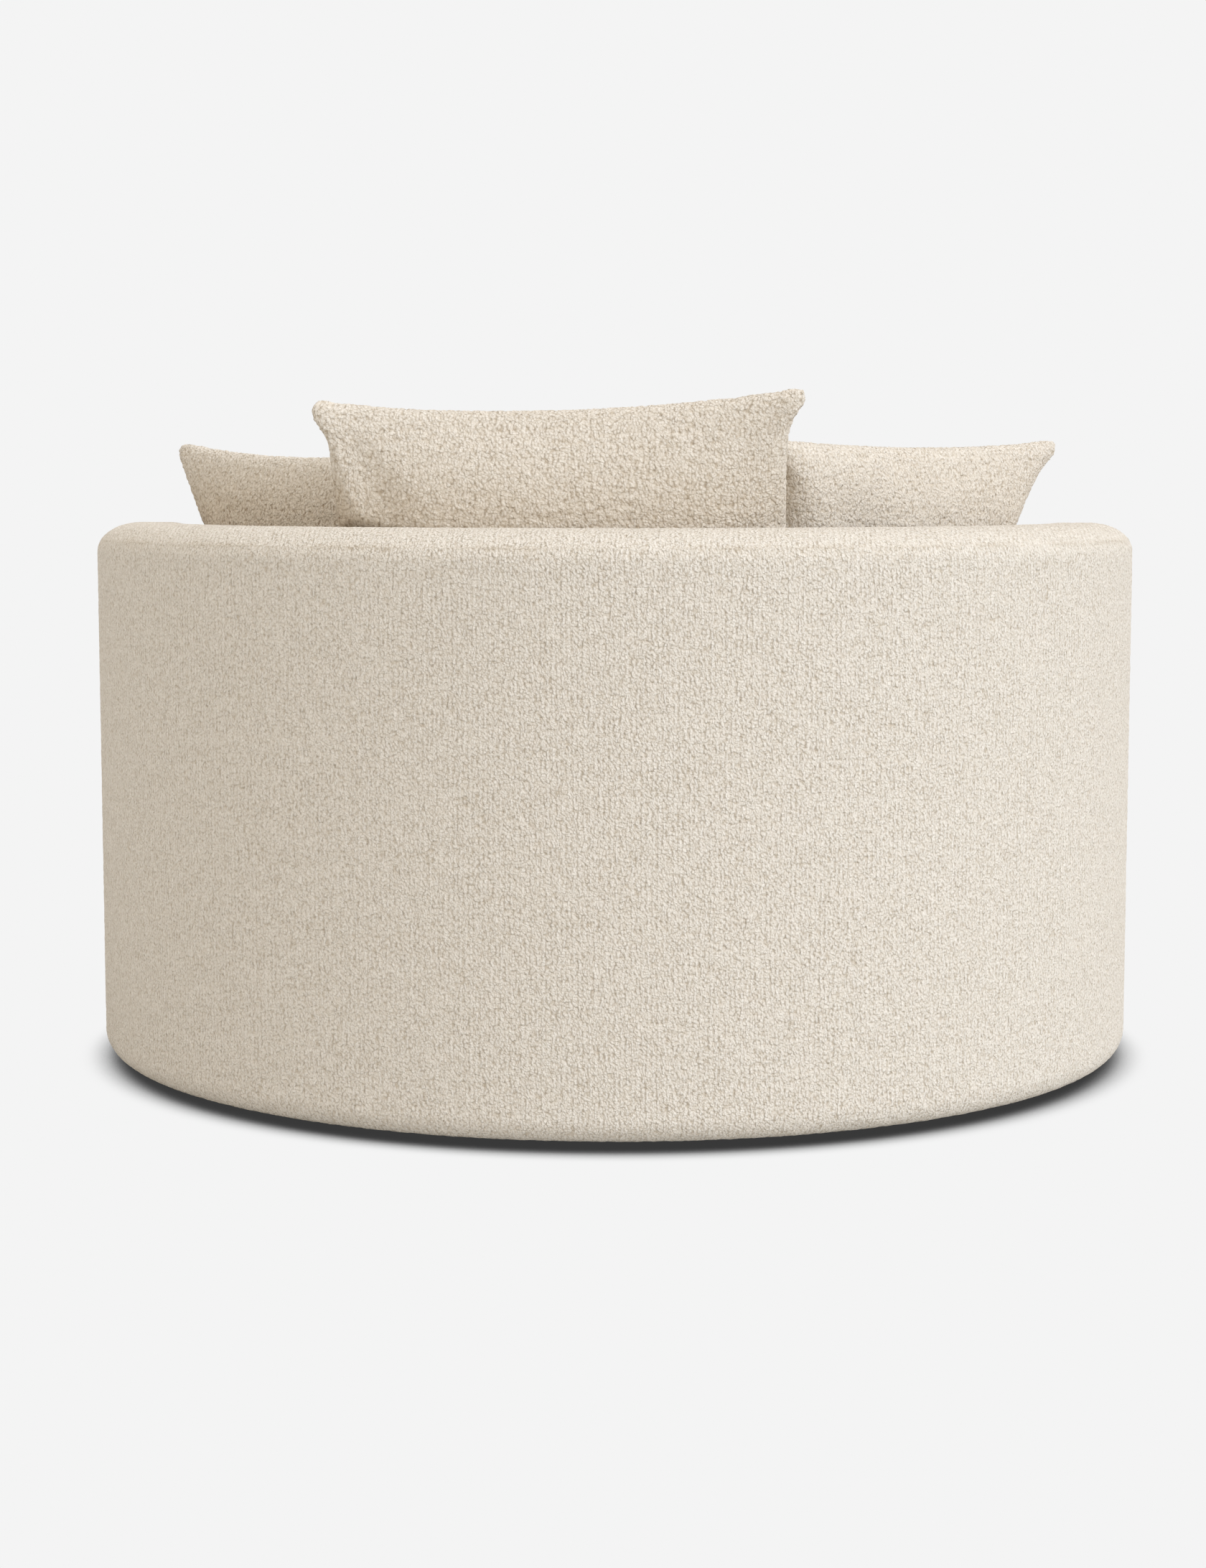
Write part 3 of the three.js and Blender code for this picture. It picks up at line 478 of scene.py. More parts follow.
def planed_softwood(colours):
    """Planed pine: growth rings a few millimetres apart run along the rail, darker late wood
    between them."""
    material, tree, shader = new_material("planed_pine", 0.55)
    place = object_place(tree)
    rings = add(
        tree, "ShaderNodeTexWave",
        {"Vector": place, "Scale": 26.0, "Distortion": 5.0, "Detail": 3.0, "Detail Scale": 1.4},
        wave_type="RINGS", rings_direction="X",
    )
    fibre = add(tree, "ShaderNodeTexNoise", {"Vector": place, "Scale": 240.0, "Detail": 4.0})
    colour = mix(tree, rings.outputs["Fac"], rgba(colours.lumber), rgba(colours.lumber, 0.7))
    bump = add(tree, "ShaderNodeBump", {"Height": fibre.outputs["Fac"], "Distance": mm(0.3)})
    tree.links.new(colour, shader.inputs["Base Color"])
    tree.links.new(bump.outputs[0], shader.inputs["Normal"])
    return material


def pressed_hardboard(colours):
    """Hardboard: brown pressed fibres with dark and light flecks, smooth and slightly waxy."""
    material, tree, shader = new_material("pressed_hardboard", 0.5)
    place = object_place(tree)
    flecks = add(
        tree, "ShaderNodeTexNoise",
        {"Vector": place, "Scale": 180.0, "Detail": 6.0, "Roughness": 0.75},
    )
    clouds = add(tree, "ShaderNodeTexNoise", {"Vector": place, "Scale": 12.0, "Detail": 3.0})
    speckle = mix(
        tree, flecks.outputs["Fac"], rgba(colours.hardboard, 0.6), rgba(colours.hardboard, 1.35),
    )
    colour = mix(tree, clouds.outputs["Fac"], speckle, rgba(colours.hardboard))
    bump = add(tree, "ShaderNodeBump", {"Height": flecks.outputs["Fac"], "Distance": mm(0.2)})
    tree.links.new(colour, shader.inputs["Base Color"])
    tree.links.new(bump.outputs[0], shader.inputs["Normal"])
    return material


def woven_cloth(name, colour_in, thread_mm, roughness, contrast):
    """A plain weave: threads cross at right angles and each crossing is a small raised square."""
    material, tree, shader = new_material(name, roughness, {"Sheen Weight": 0.1})
    place = object_place(tree)
    rounds = 2 * math.pi / mm(2 * thread_mm)
    turned = add(tree, "ShaderNodeVectorMath", {0: place, 1: (rounds,) * 3}, operation="MULTIPLY")
    waves = add(tree, "ShaderNodeVectorMath", {0: turned.outputs[0]}, operation="SINE")
    parts = add(tree, "ShaderNodeSeparateXYZ", {0: waves.outputs[0]})
    crossing = add(
        tree, "ShaderNodeMath", {0: parts.outputs[0], 1: parts.outputs[1]}, operation="MULTIPLY",
    )
    height = add(
        tree, "ShaderNodeMath", {0: crossing.outputs[0], 1: 0.5, 2: 0.5}, operation="MULTIPLY_ADD",
    ).outputs[0]
    slub = add(tree, "ShaderNodeTexNoise", {"Vector": place, "Scale": 70.0, "Detail": 4.0})
    weave = mix(tree, height, rgba(colour_in, 1 - contrast), rgba(colour_in))
    colour = mix(tree, slub.outputs["Fac"], weave, rgba(colour_in, 1 - contrast / 2))
    bump = add(tree, "ShaderNodeBump", {"Height": height, "Strength": 0.6, "Distance": mm(0.5)})
    tree.links.new(colour, shader.inputs["Base Color"])
    tree.links.new(bump.outputs[0], shader.inputs["Normal"])
    return material


def pressed_cambric(colours):
    """Spun-bonded dust cover: thin black fibres pressed into dots about 2 mm apart."""
    material, tree, shader = new_material("spun_bonded_cloth", 0.85)
    place = object_place(tree)
    dots = add(tree, "ShaderNodeTexVoronoi", {"Vector": place, "Scale": 500.0, "Randomness": 0.2})
    fibres = add(tree, "ShaderNodeTexNoise", {"Vector": place, "Scale": 300.0, "Detail": 5.0})
    flecks = mix(tree, fibres.outputs["Fac"], rgba(colours.cambric, 0.6), rgba(colours.cambric, 1.6))
    colour = mix(tree, dots.outputs["Distance"], rgba(colours.cambric, 0.7), flecks)
    bump = add(tree, "ShaderNodeBump", {"Height": dots.outputs["Distance"], "Distance": mm(0.4)})
    tree.links.new(colour, shader.inputs["Base Color"])
    tree.links.new(bump.outputs[0], shader.inputs["Normal"])
    return material


def moulded_nylon(colours):
    """Injection-moulded nylon: a fine spark-eroded grain that dulls its gloss, scuffed lighter in
    patches where it has slid over floors."""
    material, tree, shader = new_material("moulded_nylon", 0.42)
    place = object_place(tree)
    grain = add(tree, "ShaderNodeTexNoise", {"Vector": place, "Scale": 900.0, "Detail": 2.0})
    scuffs = add(tree, "ShaderNodeTexNoise", {"Vector": place, "Scale": 40.0, "Detail": 5.0})
    colour = mix(tree, scuffs.outputs["Fac"], rgba(colours.glide, 0.8), rgba(colours.glide, 1.9))
    bump = add(tree, "ShaderNodeBump", {"Height": grain.outputs["Fac"], "Distance": mm(0.15)})
    tree.links.new(colour, shader.inputs["Base Color"])
    tree.links.new(bump.outputs[0], shader.inputs["Normal"])
    return material


def coil_zip(colours):
    """Coil zip: polyester tape with moulded teeth, 1.5 mm apart, that catch the light."""
    material, tree, shader = new_material("coil_zip_tape", 0.5)
    place = object_place(tree)
    teeth = add(tree, "ShaderNodeTexVoronoi", {"Vector": place, "Scale": 660.0, "Randomness": 0.1})
    threads = add(tree, "ShaderNodeTexNoise", {"Vector": place, "Scale": 520.0, "Detail": 3.0})
    toned = mix(tree, threads.outputs["Fac"], rgba(colours.zip_tape, 0.85), rgba(colours.zip_tape))
    colour = mix(tree, teeth.outputs["Distance"], toned, rgba(colours.zip_tape, 0.62))
    bump = add(tree, "ShaderNodeBump", {"Height": teeth.outputs["Distance"], "Distance": mm(0.5)})
    tree.links.new(colour, shader.inputs["Base Color"])
    tree.links.new(bump.outputs[0], shader.inputs["Normal"])
    return material


def finish_of(slot):
    """The material of one of the record's slots, made once."""
    scene = bpy.context.scene
    colours = scene.chair_colours
    makers = {
        "boucle": lambda: boucle(colours, scene.chair_cloth),
        "foam": lambda: open_cell_foam(colours),
        "wadding": lambda: polyester_wadding(colours),
        "plywood": lambda: birch_plywood(colours),
        "lumber": lambda: planed_softwood(colours),
        "hardboard": lambda: pressed_hardboard(colours),
        "webbing": lambda: woven_cloth("elastic_webbing", colours.webbing, 2.0, 0.8, 0.45),
        "cambric": lambda: pressed_cambric(colours),
        "glide": lambda: moulded_nylon(colours),
        "lining": lambda: woven_cloth("cotton_lining", colours.lining, 1.2, 0.9, 0.22),
        "zip": lambda: coil_zip(colours),
    }
    if slot not in FINISHES:
        FINISHES[slot] = makers[slot]()
    return FINISHES[slot]


FINISHES = {}


# Plan of the padded wall, as the frame has it

class WallPlan:
    """The wall's outline seen from above. A place on it is a number from 0, at the outside of the
    middle of the back, past 1 and 2 round the arm's outer corner, 3 and 4 round its inner corner,
    to 5, inside the middle of the back. Negative places are on the right arm."""

    def __init__(self, sizes):
        self.outer = sizes.drum_radius
        self.inner = sizes.inner_radius
        self.corner = sizes.arm_corner
        self.end = sizes.arm_end_angle
        self.facing = sizes.arm_end_angle + math.pi / 2
        self.outer_centre = self.corner_centre(self.outer - self.corner)
        self.inner_centre = self.corner_centre(self.inner + self.corner)
        self.outer_angle = math.atan2(*self.outer_centre)
        self.inner_angle = math.atan2(*self.inner_centre)
        turn = math.acos((self.corner - sizes.band_lap) / self.corner)
        self.outer_seam = 2 - turn / (self.facing - self.outer_angle)
        self.inner_seam = 3 + turn / (self.inner_angle + math.pi - self.facing)
        self.lengths = np.array([
            self.outer * self.outer_angle,
            self.corner * (self.facing - self.outer_angle),
            np.linalg.norm(self.outer_centre - self.inner_centre),
            self.corner * (self.inner_angle + math.pi - self.facing),
            self.inner * self.inner_angle,
        ])

    def corner_centre(self, radius):
        """Centre of a corner whose centre lies at that distance from the drum's axis."""
        along = math.sqrt(radius ** 2 - self.corner ** 2)
        return polar(along, self.end) - polar(self.corner, self.facing)

    def points(self, places, inset):
        """x and y at those places, moved in by `inset`."""
        places, inset = np.broadcast_arrays(np.asarray(places, float), np.asarray(inset, float))
        side, p = np.where(places < 0, -1.0, 1.0), np.abs(places)
        radius = self.corner - inset
        spread = lambda a, b, t: a + (b - a) * np.clip(t, 0, 1)
        outer = polar(self.outer - inset, spread(0, self.outer_angle, p))
        inner = polar(self.inner + inset, spread(self.inner_angle, 0, p - 4))
        first = self.outer_centre + polar(radius, spread(self.outer_angle, self.facing, p - 1))
        last = self.inner_centre + polar(
            radius, spread(self.facing, self.inner_angle + math.pi, p - 3),
        )
        share = np.clip(p - 2, 0, 1)[..., None]
        end = self.outer_centre * (1 - share) + self.inner_centre * share
        end = end + polar(radius, self.facing)
        steps = [p[..., None] <= k for k in (1, 2, 3, 4)]
        made = np.select(steps, [outer, first, end, last], inner)
        return made * np.stack([side, np.ones_like(side)], -1)

    def run(self, places):
        """Distance along the outline from the middle of the back, for the cloth's pattern."""
        places = np.asarray(places, float)
        ends = np.concatenate([[0], np.cumsum(self.lengths)])
        return np.sign(places) * np.interp(np.abs(places), np.arange(6), ends)

    def stations(self, start, finish, pitch):
        """Places from start to finish about `pitch` apart, with one on each whole number."""
        stops = [start, *range(math.floor(start) + 1, math.ceil(finish)), finish]
        made = [start]
        for a, b in zip(stops, stops[1:]):
            span = abs(self.run(b) - self.run(a))
            count = max(1, round(span / pitch))
            made.extend(a + (b - a) * (k + 1) / count for k in range(count))
        return np.array(made)


def polar(radius, angle):
    radius, angle = np.broadcast_arrays(np.asarray(radius, float), np.asarray(angle, float))
    return np.stack([radius * np.sin(angle), radius * np.cos(angle)], -1)


def spaced(start, finish, pitch):
    """Numbers from start to finish about `pitch` apart."""
    return np.linspace(start, finish, max(1, round(abs(finish - start) / pitch)) + 1)


def joined(*stretches):
    """Stretches of numbers or pairs end to end, without the shared ends."""
    return np.concatenate([stretches[0]] + [s[1:] for s in stretches[1:]])


def level_pairs(heights, inset):
    return np.stack([heights, np.full_like(heights, inset)], -1)


# Meshes

def start_cloth():
    """An empty mesh with the places on the cloth, the distance from a seam and the hidden side."""
    bm = bmesh.new()
    floats = bm.verts.layers.float
    return bm, bm.verts.layers.float_vector.new("weave"), floats.new("seam"), floats.new("hidden")


def lay_grid(bm, layers, points, weave, seam, hidden=0.0):
    """Lays a grid of quads over points (rows, columns, 3). `weave` is each point's place on the
    cloth and `seam` its distance from the nearest seam."""
    weave_layer, seam_layer, hidden_layer = layers
    rows, columns = points.shape[:2]
    made = bmesh.ops.create_grid(bm, x_segments=columns - 1, y_segments=rows - 1, size=1)["verts"]
    for v in made:
        i = round((v.co.x + 1) / 2 * (columns - 1))
        j = round((v.co.y + 1) / 2 * (rows - 1))
        v.co = points[j, i]
        v[weave_layer] = (*weave[j, i], 0)[:3]
        v[seam_layer] = seam[j, i]
        v[hidden_layer] = hidden
    return made


def make_object(name, bm):
    for face in bm.faces:
        face.smooth = True
    mesh = bpy.data.meshes.new(name)
    bm.to_mesh(mesh)
    bm.free()
    made = bpy.data.objects.new(name, mesh)
    bpy.context.scene.collection.objects.link(made)
    return made


def read(mesh, name, width=3):
    """An attribute of a mesh's points as an array."""
    kind = "vector" if width == 3 else "value"
    values = np.zeros(len(mesh.vertices) * width, np.float32)
    mesh.attributes[name].data.foreach_get(kind, values)
    return values.reshape(-1, width) if width > 1 else values


def write(mesh, name, values):
    """Stores one number for each point of a mesh."""
    made = mesh.attributes.get(name) or mesh.attributes.new(name, "FLOAT", "POINT")
    made.data.foreach_set("value", np.asarray(values, np.float32))


def places(mesh):
    values = np.zeros(len(mesh.vertices) * 3, np.float32)
    mesh.vertices.foreach_get("co", values)
    return values.reshape(-1, 3).astype(float)


def place(mesh, points):
    mesh.vertices.foreach_set("co", np.asarray(points, np.float32).ravel())
    mesh.update()


def outward(mesh):
    values = np.zeros(len(mesh.vertices) * 3, np.float32)
    mesh.vertex_normals.foreach_get("vector", values)
    return values.reshape(-1, 3).astype(float)


def scattered(cell, seed):
    """A fixed number from 0 to 1 for each cell."""
    n = np.sin(cell @ np.array([127.1, 311.7, 74.7]) + seed * 17.3) * 43758.5453
    return n - np.floor(n)


def nubs(weave, pitch, seed=1):
    """Height of the boucle's loops, 1 on a crown and 0 between them."""
    q = weave / np.asarray(pitch)
    cell = np.floor(q)
    best = np.full(len(q), 9.0)
    for step in np.ndindex(3, 3, 3):
        near = cell + np.array(step) - 1
        jitter = np.stack([scattered(near, seed + k) for k in range(3)], -1) - 0.5
        off = q - near - 0.5 - 0.7 * jitter
        best = np.minimum(best, (off ** 2).sum(-1))
    return np.clip(1 - best / 0.5, 0, 1)


def raise_loops(
        obj, pitch, depth, seam_depth=0.0, shade=0.0, seed=1, ribbing=0.6, painted_shade=0.0,
):
    """Presses the cloth in between its loops and along its seams. Crowns stay where they are.
    `shade` is how strongly the hollows show the ground yarn, `ribbing` how much the loops stand in
    ribs, and `painted_shade` how much painted shade darkens the cloth towards the brown gap colour. A
    panel without `seam_depth` ends at its seams, where it meets the next one, so its edge stays in
    place."""
    mesh = obj.data
    weave = read(mesh, "weave")
    seam = read(mesh, "seam", 1)
    hidden = mesh.attributes.get("hidden")
    front = read(mesh, "hidden", 1) < 0.5 if hidden else np.ones(len(seam))
    crown = nubs(weave, (pitch[0], pitch[1], pitch[0]), seed)
    groove = np.exp(-((seam / GROOVE_WIDTH) ** 2))
    points = places(mesh)
    x, y = points[:, 0], points[:, 1]
    uneven = 0.55 + 0.45 * np.sin(x / mm(31) + 2 * np.sin(y / mm(47) + x / mm(90)))
    flattened = 0.3 if seam_depth else 1.0
    press = depth * (1 - crown) * (1 - flattened * groove) + seam_depth * groove * uneven
    place(mesh, points - outward(mesh) * (press * front)[:, None])
    stitched = 0.0 if seam_depth else 0.9 * groove * uneven
    # Lower values show more ground yarn in the hollows and along seams, and `painted_shade` lowers
    # them further as painted shade.
    yarn_and_painted_shade = 0.5 + shade * (crown - 0.5) * (1 - groove) - painted_shade - stitched
    write(mesh, "yarn_and_painted_shade", np.where(front, yarn_and_painted_shade, 0.5))
    write(mesh, "ribbing", np.full(len(seam), ribbing))


def close_back(bm, layers, points, weave, seam):
    """Gives a panel its back, a coarser grid, and closes the narrow rim between the two."""
    edges = [e for e in bm.edges if e.is_boundary]
    back = lay_grid(bm, layers, points, weave, seam, 1.0)
    rim = [e for e in {e for v in back for e in v.link_edges} if e.is_boundary]
    for edge in edges + rim:
        edge.smooth = False
    bmesh.ops.bridge_loops(bm, edges=edges + rim)
    bmesh.ops.recalc_face_normals(bm, faces=bm.faces[:])


def panel(name, shape, columns, rows, coarse_columns, coarse_rows):
    """A closed cloth panel. `shape(columns, rows, depth)` gives points, places on the cloth and
    distances from the seams for a grid, `depth` below the panel's face."""
    bm, *layers = start_cloth()
    lay_grid(bm, layers, *shape(columns, rows, 0.0))
    close_back(bm, layers, *shape(coarse_columns, coarse_rows, PANEL_THICKNESS))
    return make_object(name, bm)


def dress(obj, slot, body=BODY, replaced=()):
    """Gives a finished piece the material of its slot, puts it under its body and hides the frame
    nodes that it replaces.
    """
    obj.data.materials.clear()
    obj.data.materials.append(finish_of(slot))
    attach(obj, body)
    if replaced:
        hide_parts(*replaced)
    return obj


# Wall covers

def roll_foot(sizes):
    """Height at which the upright wall starts to roll over."""
    return sizes.wall_height - sizes.roll_drop


def roll_levels(sizes, from_turn, to_turn, pitch):
    """Pairs of height and inset over the wall's rolled top, between two turns of a quarter."""
    length = sizes.arm_corner * 0.85 * abs(to_turn - from_turn)
    turn = spaced(from_turn, to_turn, pitch / max(length, pitch) * abs(to_turn - from_turn))
    height = roll_foot(sizes) + sizes.roll_drop * np.sin(turn)
    return np.stack([height, sizes.arm_corner * (1 - np.cos(turn))], -1)


def seam_turn(sizes):
    """The turn of the roll at which the top band's seam lies."""
    return math.asin((BAND_SEAM - roll_foot(sizes)) / sizes.roll_drop)


def wall_levels(sizes, low, pitch):
    """Height and inset from `low` up the wall and over its roll to the band's seam."""
    straight = level_pairs(spaced(low, roll_foot(sizes), pitch), 0.0)
    return joined(straight, roll_levels(sizes, 0, seam_turn(sizes), pitch))


def along_profile(pairs):
    """Distance along a profile of pairs."""
    steps = np.linalg.norm(np.diff(pairs, axis=0), axis=1)
    return np.concatenate([[0], np.cumsum(steps)])


def wall_shape(sizes, plan, inward=False):
    """The shape of a panel on the wall, as `panel` asks for it."""
    def shape(columns, rows, depth):
        p, (z, inset) = columns[None, :], rows.T[:, :, None]
        slope = np.clip(inset / sizes.arm_corner, 0, 1)
        xy = plan.points(p, inset + depth * (1 - 0.4 * slope))
        heights = np.broadcast_to(z - depth * slope, xy.shape[:2])
        points = np.concatenate([xy, heights[..., None]], -1)
        across, along = plan.run(columns), along_profile(rows) + rows[0, 0]
        weave = np.stack(np.broadcast_arrays(across[None, :], along[:, None]), -1)
        to_end = np.minimum(abs(across - across[0]), abs(across - across[-1]))
        to_top = along[-1] - along
        seam = np.minimum(*np.broadcast_arrays(to_end[None, :], to_top[:, None]))
        return points, weave, seam
    return shape


def outer_back_shape(sizes, plan):
    """The outer back: it curls under the base at its foot, follows the full drum up to the
    platform and the arm's rounded corners above it."""
    wall = wall_shape(sizes, plan)
    reach = coat_seam_angle(sizes)

    def shape(columns, rows, depth):
        points, weave, seam = wall(columns, rows, depth)
        z, inset = rows.T[:, :, None]
        p, side = np.abs(columns), np.sign(columns)
        past = np.clip((p - 1) / (plan.outer_seam - 1), 0, 1)
        angle = side * (np.clip(p, 0, 1) * plan.outer_angle + past * (reach - plan.outer_angle))
        drum = polar(sizes.drum_radius - inset - depth, angle[None, :])
        curl = np.clip((FLOOR_GAP + sizes.bottom_edge - z) / sizes.bottom_edge, 0, 1)
        low = smooth_step(z, WALL_FOOT + mm(6), WALL_FOOT - mm(8))[..., None]
        points[..., :2] = points[..., :2] * (1 - low) + drum * low
        points[..., 2] += depth * np.broadcast_to(curl, points.shape[:2])
        return points, weave, seam
    return shape


def smooth_step(value, start, finish):
    t = np.clip((value - start) / (finish - start), 0, 1)
    return t * t * (3 - 2 * t)


def coat_seam_angle(sizes):
    """Angle of the seam that runs down the drum below each arm's end."""
    return sizes.arm_end_angle - math.asin(sizes.band_lap / sizes.drum_radius)


def curl_levels(sizes, pitch):
    """Height and inset from the hem under the base, round the curled edge, to the upright wall."""
    flat = spaced(sizes.bottom_edge + sizes.hem, sizes.bottom_edge, pitch)
    hem = np.stack([np.full_like(flat, FLOOR_GAP), flat], -1)
    turn = spaced(0, math.pi / 2, pitch / sizes.bottom_edge)
    edge = np.stack([
        FLOOR_GAP + sizes.bottom_edge * (1 - np.cos(turn)),
        sizes.bottom_edge * (1 - np.sin(turn)),
    ], -1)
    return joined(hem, edge)


def make_outer_back(sizes, cloth):
    plan = WallPlan(sizes)
    shape = outer_back_shape(sizes, plan)
    made = []
    for pitch in (cloth.wall_pitch, BACK_PITCH):
        half = plan.stations(0, plan.outer_seam, pitch)
        columns = joined(-half[::-1], half)
        low = FLOOR_GAP + sizes.bottom_edge
        rows = joined(curl_levels(sizes, pitch), wall_levels(sizes, low, pitch))
        made += [columns, rows]
    obj = panel("outer_back_boucle", shape, *made)
    raise_loops(obj, LARGE_LOOPS, WALL_RELIEF, seed=2)
    return dress(obj, "boucle", replaced=["outer_back_cover"])


def make_inner_back(sizes, cloth):
    plan = WallPlan(sizes)
    shape = wall_shape(sizes, plan)
    made = []
    for pitch in (cloth.wall_pitch * 0.9, BACK_PITCH):
        half = plan.stations(plan.inner_seam, 5, pitch)
        columns = joined(half, -half[::-1])
        made += [columns, wall_levels(sizes, WALL_FOOT, pitch)]
    obj = panel("inner_back_boucle", inner_shape(shape, plan), *made)
    raise_loops(obj, (mm(9), mm(11.5)), WALL_RELIEF, seed=3)
    return dress(obj, "boucle", replaced=["inner_back_cover"])


def inner_shape(shape, plan):
    """As the wall's shape, with the cloth's places counted from the middle of the inner back."""
    full = plan.lengths.sum()

    def counted(columns, rows, depth):
        points, weave, seam = shape(columns, rows, depth)
        run = plan.run(columns)
        across = np.where(run < 0, run + full, run - full)
        weave = weave.copy()
        weave[..., 0] = across[None, :]
        along = along_profile(rows)
        to_end = np.minimum(abs(across - across[0]), abs(across - across[-1]))
        seam = np.minimum(*np.broadcast_arrays(to_end[None, :], (along[-1] - along)[:, None]))
        return points, weave, seam
    return counted


def make_arm_band(sizes, cloth, name, side, node):
    """The band that covers an arm's end from the platform to the top band."""
    plan = WallPlan(sizes)
    shape = wall_shape(sizes, plan)
    made = []
    for pitch in (cloth.fine_pitch, mm(22)):
        half = plan.stations(plan.outer_seam, plan.inner_seam, pitch)
        made += [side * half, wall_levels(sizes, WALL_FOOT, pitch)]
    obj = panel(name, shape, *made)
    raise_loops(obj, (mm(6.5), mm(8)), mm(1.0), seed=4)
    return dress(obj, "boucle", replaced=[node])


def band_parts(sizes, plan, pitch, depth):
    """Grids of the top band: its rolled side all round, and its flat middle."""
    straight_out = plan.stations(0, 1, pitch)
    half = joined(straight_out, plan.stations(1, 4, pitch), 5 - straight_out[::-1])
    columns = np.concatenate([half, -half[::-1][1:]])
    rows = roll_levels(sizes, seam_turn(sizes), math.pi / 2, pitch)
    z, inset = rows.T[:, :, None]
    slope = np.clip(inset / sizes.arm_corner, 0, 1)
    xy = plan.points(columns[None, :], np.minimum(inset + depth * (1 - slope), sizes.arm_corner))
    heights = np.broadcast_to(z - depth * slope, xy.shape[:2])
    side = np.concatenate([xy, heights[..., None]], -1)
    along = along_profile(rows)
    seam = np.broadcast_to(along[:, None], side.shape[:2])
    steps = plan.stations(2, 3, pitch).size - 1
    share = np.linspace(0, 1, steps + 1)[:, None, None]
    across = joined(-straight_out[::-1], straight_out)
    outer = plan.points(across, sizes.arm_corner)[None]
    inner = plan.points(np.sign(across) * (5 - np.abs(across)), sizes.arm_corner)[None]
    inner[0, across == 0] = plan.points(5.0, sizes.arm_corner)
    flat = outer * (1 - share) + inner * share
    height = np.full((*flat.shape[:2], 1), sizes.wall_height - depth)
    top = np.concatenate([flat, height], -1)
    in_cloth = [0, 2, 1]
    far_from_seam = np.full(flat.shape[:2], 1.0)
    return (side, side[..., in_cloth], seam), (top, top[..., in_cloth], far_from_seam)


def make_top_band(sizes, cloth):
    """The band over the wall's top, from the seam outside to the seam inside."""
    plan = WallPlan(sizes)
    bm, *layers = start_cloth()
    for part in band_parts(sizes, plan, cloth.fine_pitch * 1.15, 0.0):
        lay_grid(bm, layers, *part)
    bmesh.ops.remove_doubles(bm, verts=bm.verts[:], dist=WELD)
    kept = set(bm.verts)
    for part in band_parts(sizes, plan, mm(20), PANEL_THICKNESS):
        lay_grid(bm, layers, *part, 1.0)
    back = [v for v in bm.verts if v not in kept]
    bmesh.ops.remove_doubles(bm, verts=back, dist=WELD)
    rim = [e for e in bm.edges if e.is_boundary]
    for edge in rim:
        edge.smooth = False
    bmesh.ops.bridge_loops(bm, edges=rim)
    bmesh.ops.recalc_face_normals(bm, faces=bm.faces[:])
    obj = make_object("top_band_boucle", bm)
    raise_loops(obj, (mm(7), mm(8.5)), mm(1.0), seed=6)
    return dress(obj, "boucle", replaced=["top_band"])


def front_shape(sizes, plan):
    """The border round the front of the drum, from its hem to its flap on the platform."""
    def shape(columns, rows, depth):
        z, inset = rows.T[:, :, None]
        angle = columns[None, :]
        top_start = DECK_TOP - sizes.deck_edge
        over = np.clip((z - top_start) / sizes.deck_edge, 0, 1)
        under = np.clip((FLOOR_GAP + sizes.bottom_edge - z) / sizes.bottom_edge, 0, 1)
        xy = polar(sizes.drum_radius - inset - depth * (1 - np.maximum(over, under)), angle)
        heights = np.broadcast_to(z + depth * under - depth * over, xy.shape[:2]).copy()
        below_arm = arm_cover(xy, plan, sizes)
        limit = WALL_FOOT - mm(0.3) - depth
        heights = np.where(below_arm, np.minimum(heights, limit), heights)
        points = np.concatenate([xy, heights[..., None]], -1)
        across = (columns - math.pi) * sizes.drum_radius
        along = along_profile(rows)
        weave = np.stack(np.broadcast_arrays(across[None, :], along[:, None]), -1)
        to_end = np.minimum(abs(across - across[0]), abs(across - across[-1]))
        seam = np.minimum(*np.broadcast_arrays(to_end[None, :], (along[-1] - along)[:, None]))
        return points, weave, seam
    return shape


def arm_cover(xy, plan, sizes):
    """True for points that an arm stands on."""
    along = polar(1, plan.end)
    facing = polar(1, plan.facing)
    half = np.stack([np.abs(xy[..., 0]), xy[..., 1]], -1)
    ahead = half @ facing
    run = half @ along
    room = mm(1)
    corner = half - plan.outer_centre
    in_corner = (corner @ facing > 0) & (run > plan.outer_centre @ along)
    outside = in_corner & (np.linalg.norm(corner, axis=-1) > plan.corner + room)
    return (ahead < room) & ~outside


def make_front(sizes, cloth):
    plan = WallPlan(sizes)
    start = coat_seam_angle(sizes) + mm(0.4) / sizes.drum_radius
    made = []
    for pitch in (cloth.wall_pitch, BACK_PITCH):
        angles = spaced(start, 2 * math.pi - start, pitch / sizes.drum_radius)
        low = FLOOR_GAP + sizes.bottom_edge
        high = DECK_TOP - sizes.deck_edge
        turn = spaced(0, math.pi / 2, min(pitch, mm(6)) / sizes.deck_edge)
        over = np.stack([
            high + sizes.deck_edge * np.sin(turn), sizes.deck_edge * (1 - np.cos(turn)),
        ], -1)
        reach = spaced(sizes.deck_edge, sizes.deck_edge + sizes.deck_flap, pitch)
        flap = np.stack([np.full_like(reach, DECK_TOP), reach], -1)
        upright = level_pairs(spaced(low, high, pitch), 0.0)
        made += [angles, joined(curl_levels(sizes, pitch), upright, over, flap)]
    obj = panel("front_boucle", front_shape(sizes, plan), *made)
    raise_loops(obj, LARGE_LOOPS, WALL_RELIEF, seed=7)
    return dress(obj, "boucle", replaced=["front_cover"])


# Cushion and pillows

def remesh(obj, voxel):
    """Rebuilds a closed shape with even quads."""
    made = obj.modifiers.new("Remesh", "REMESH")
    made.mode = "VOXEL"
    made.voxel_size = voxel
    made.use_smooth_shade = True
    apply_modifiers(obj)


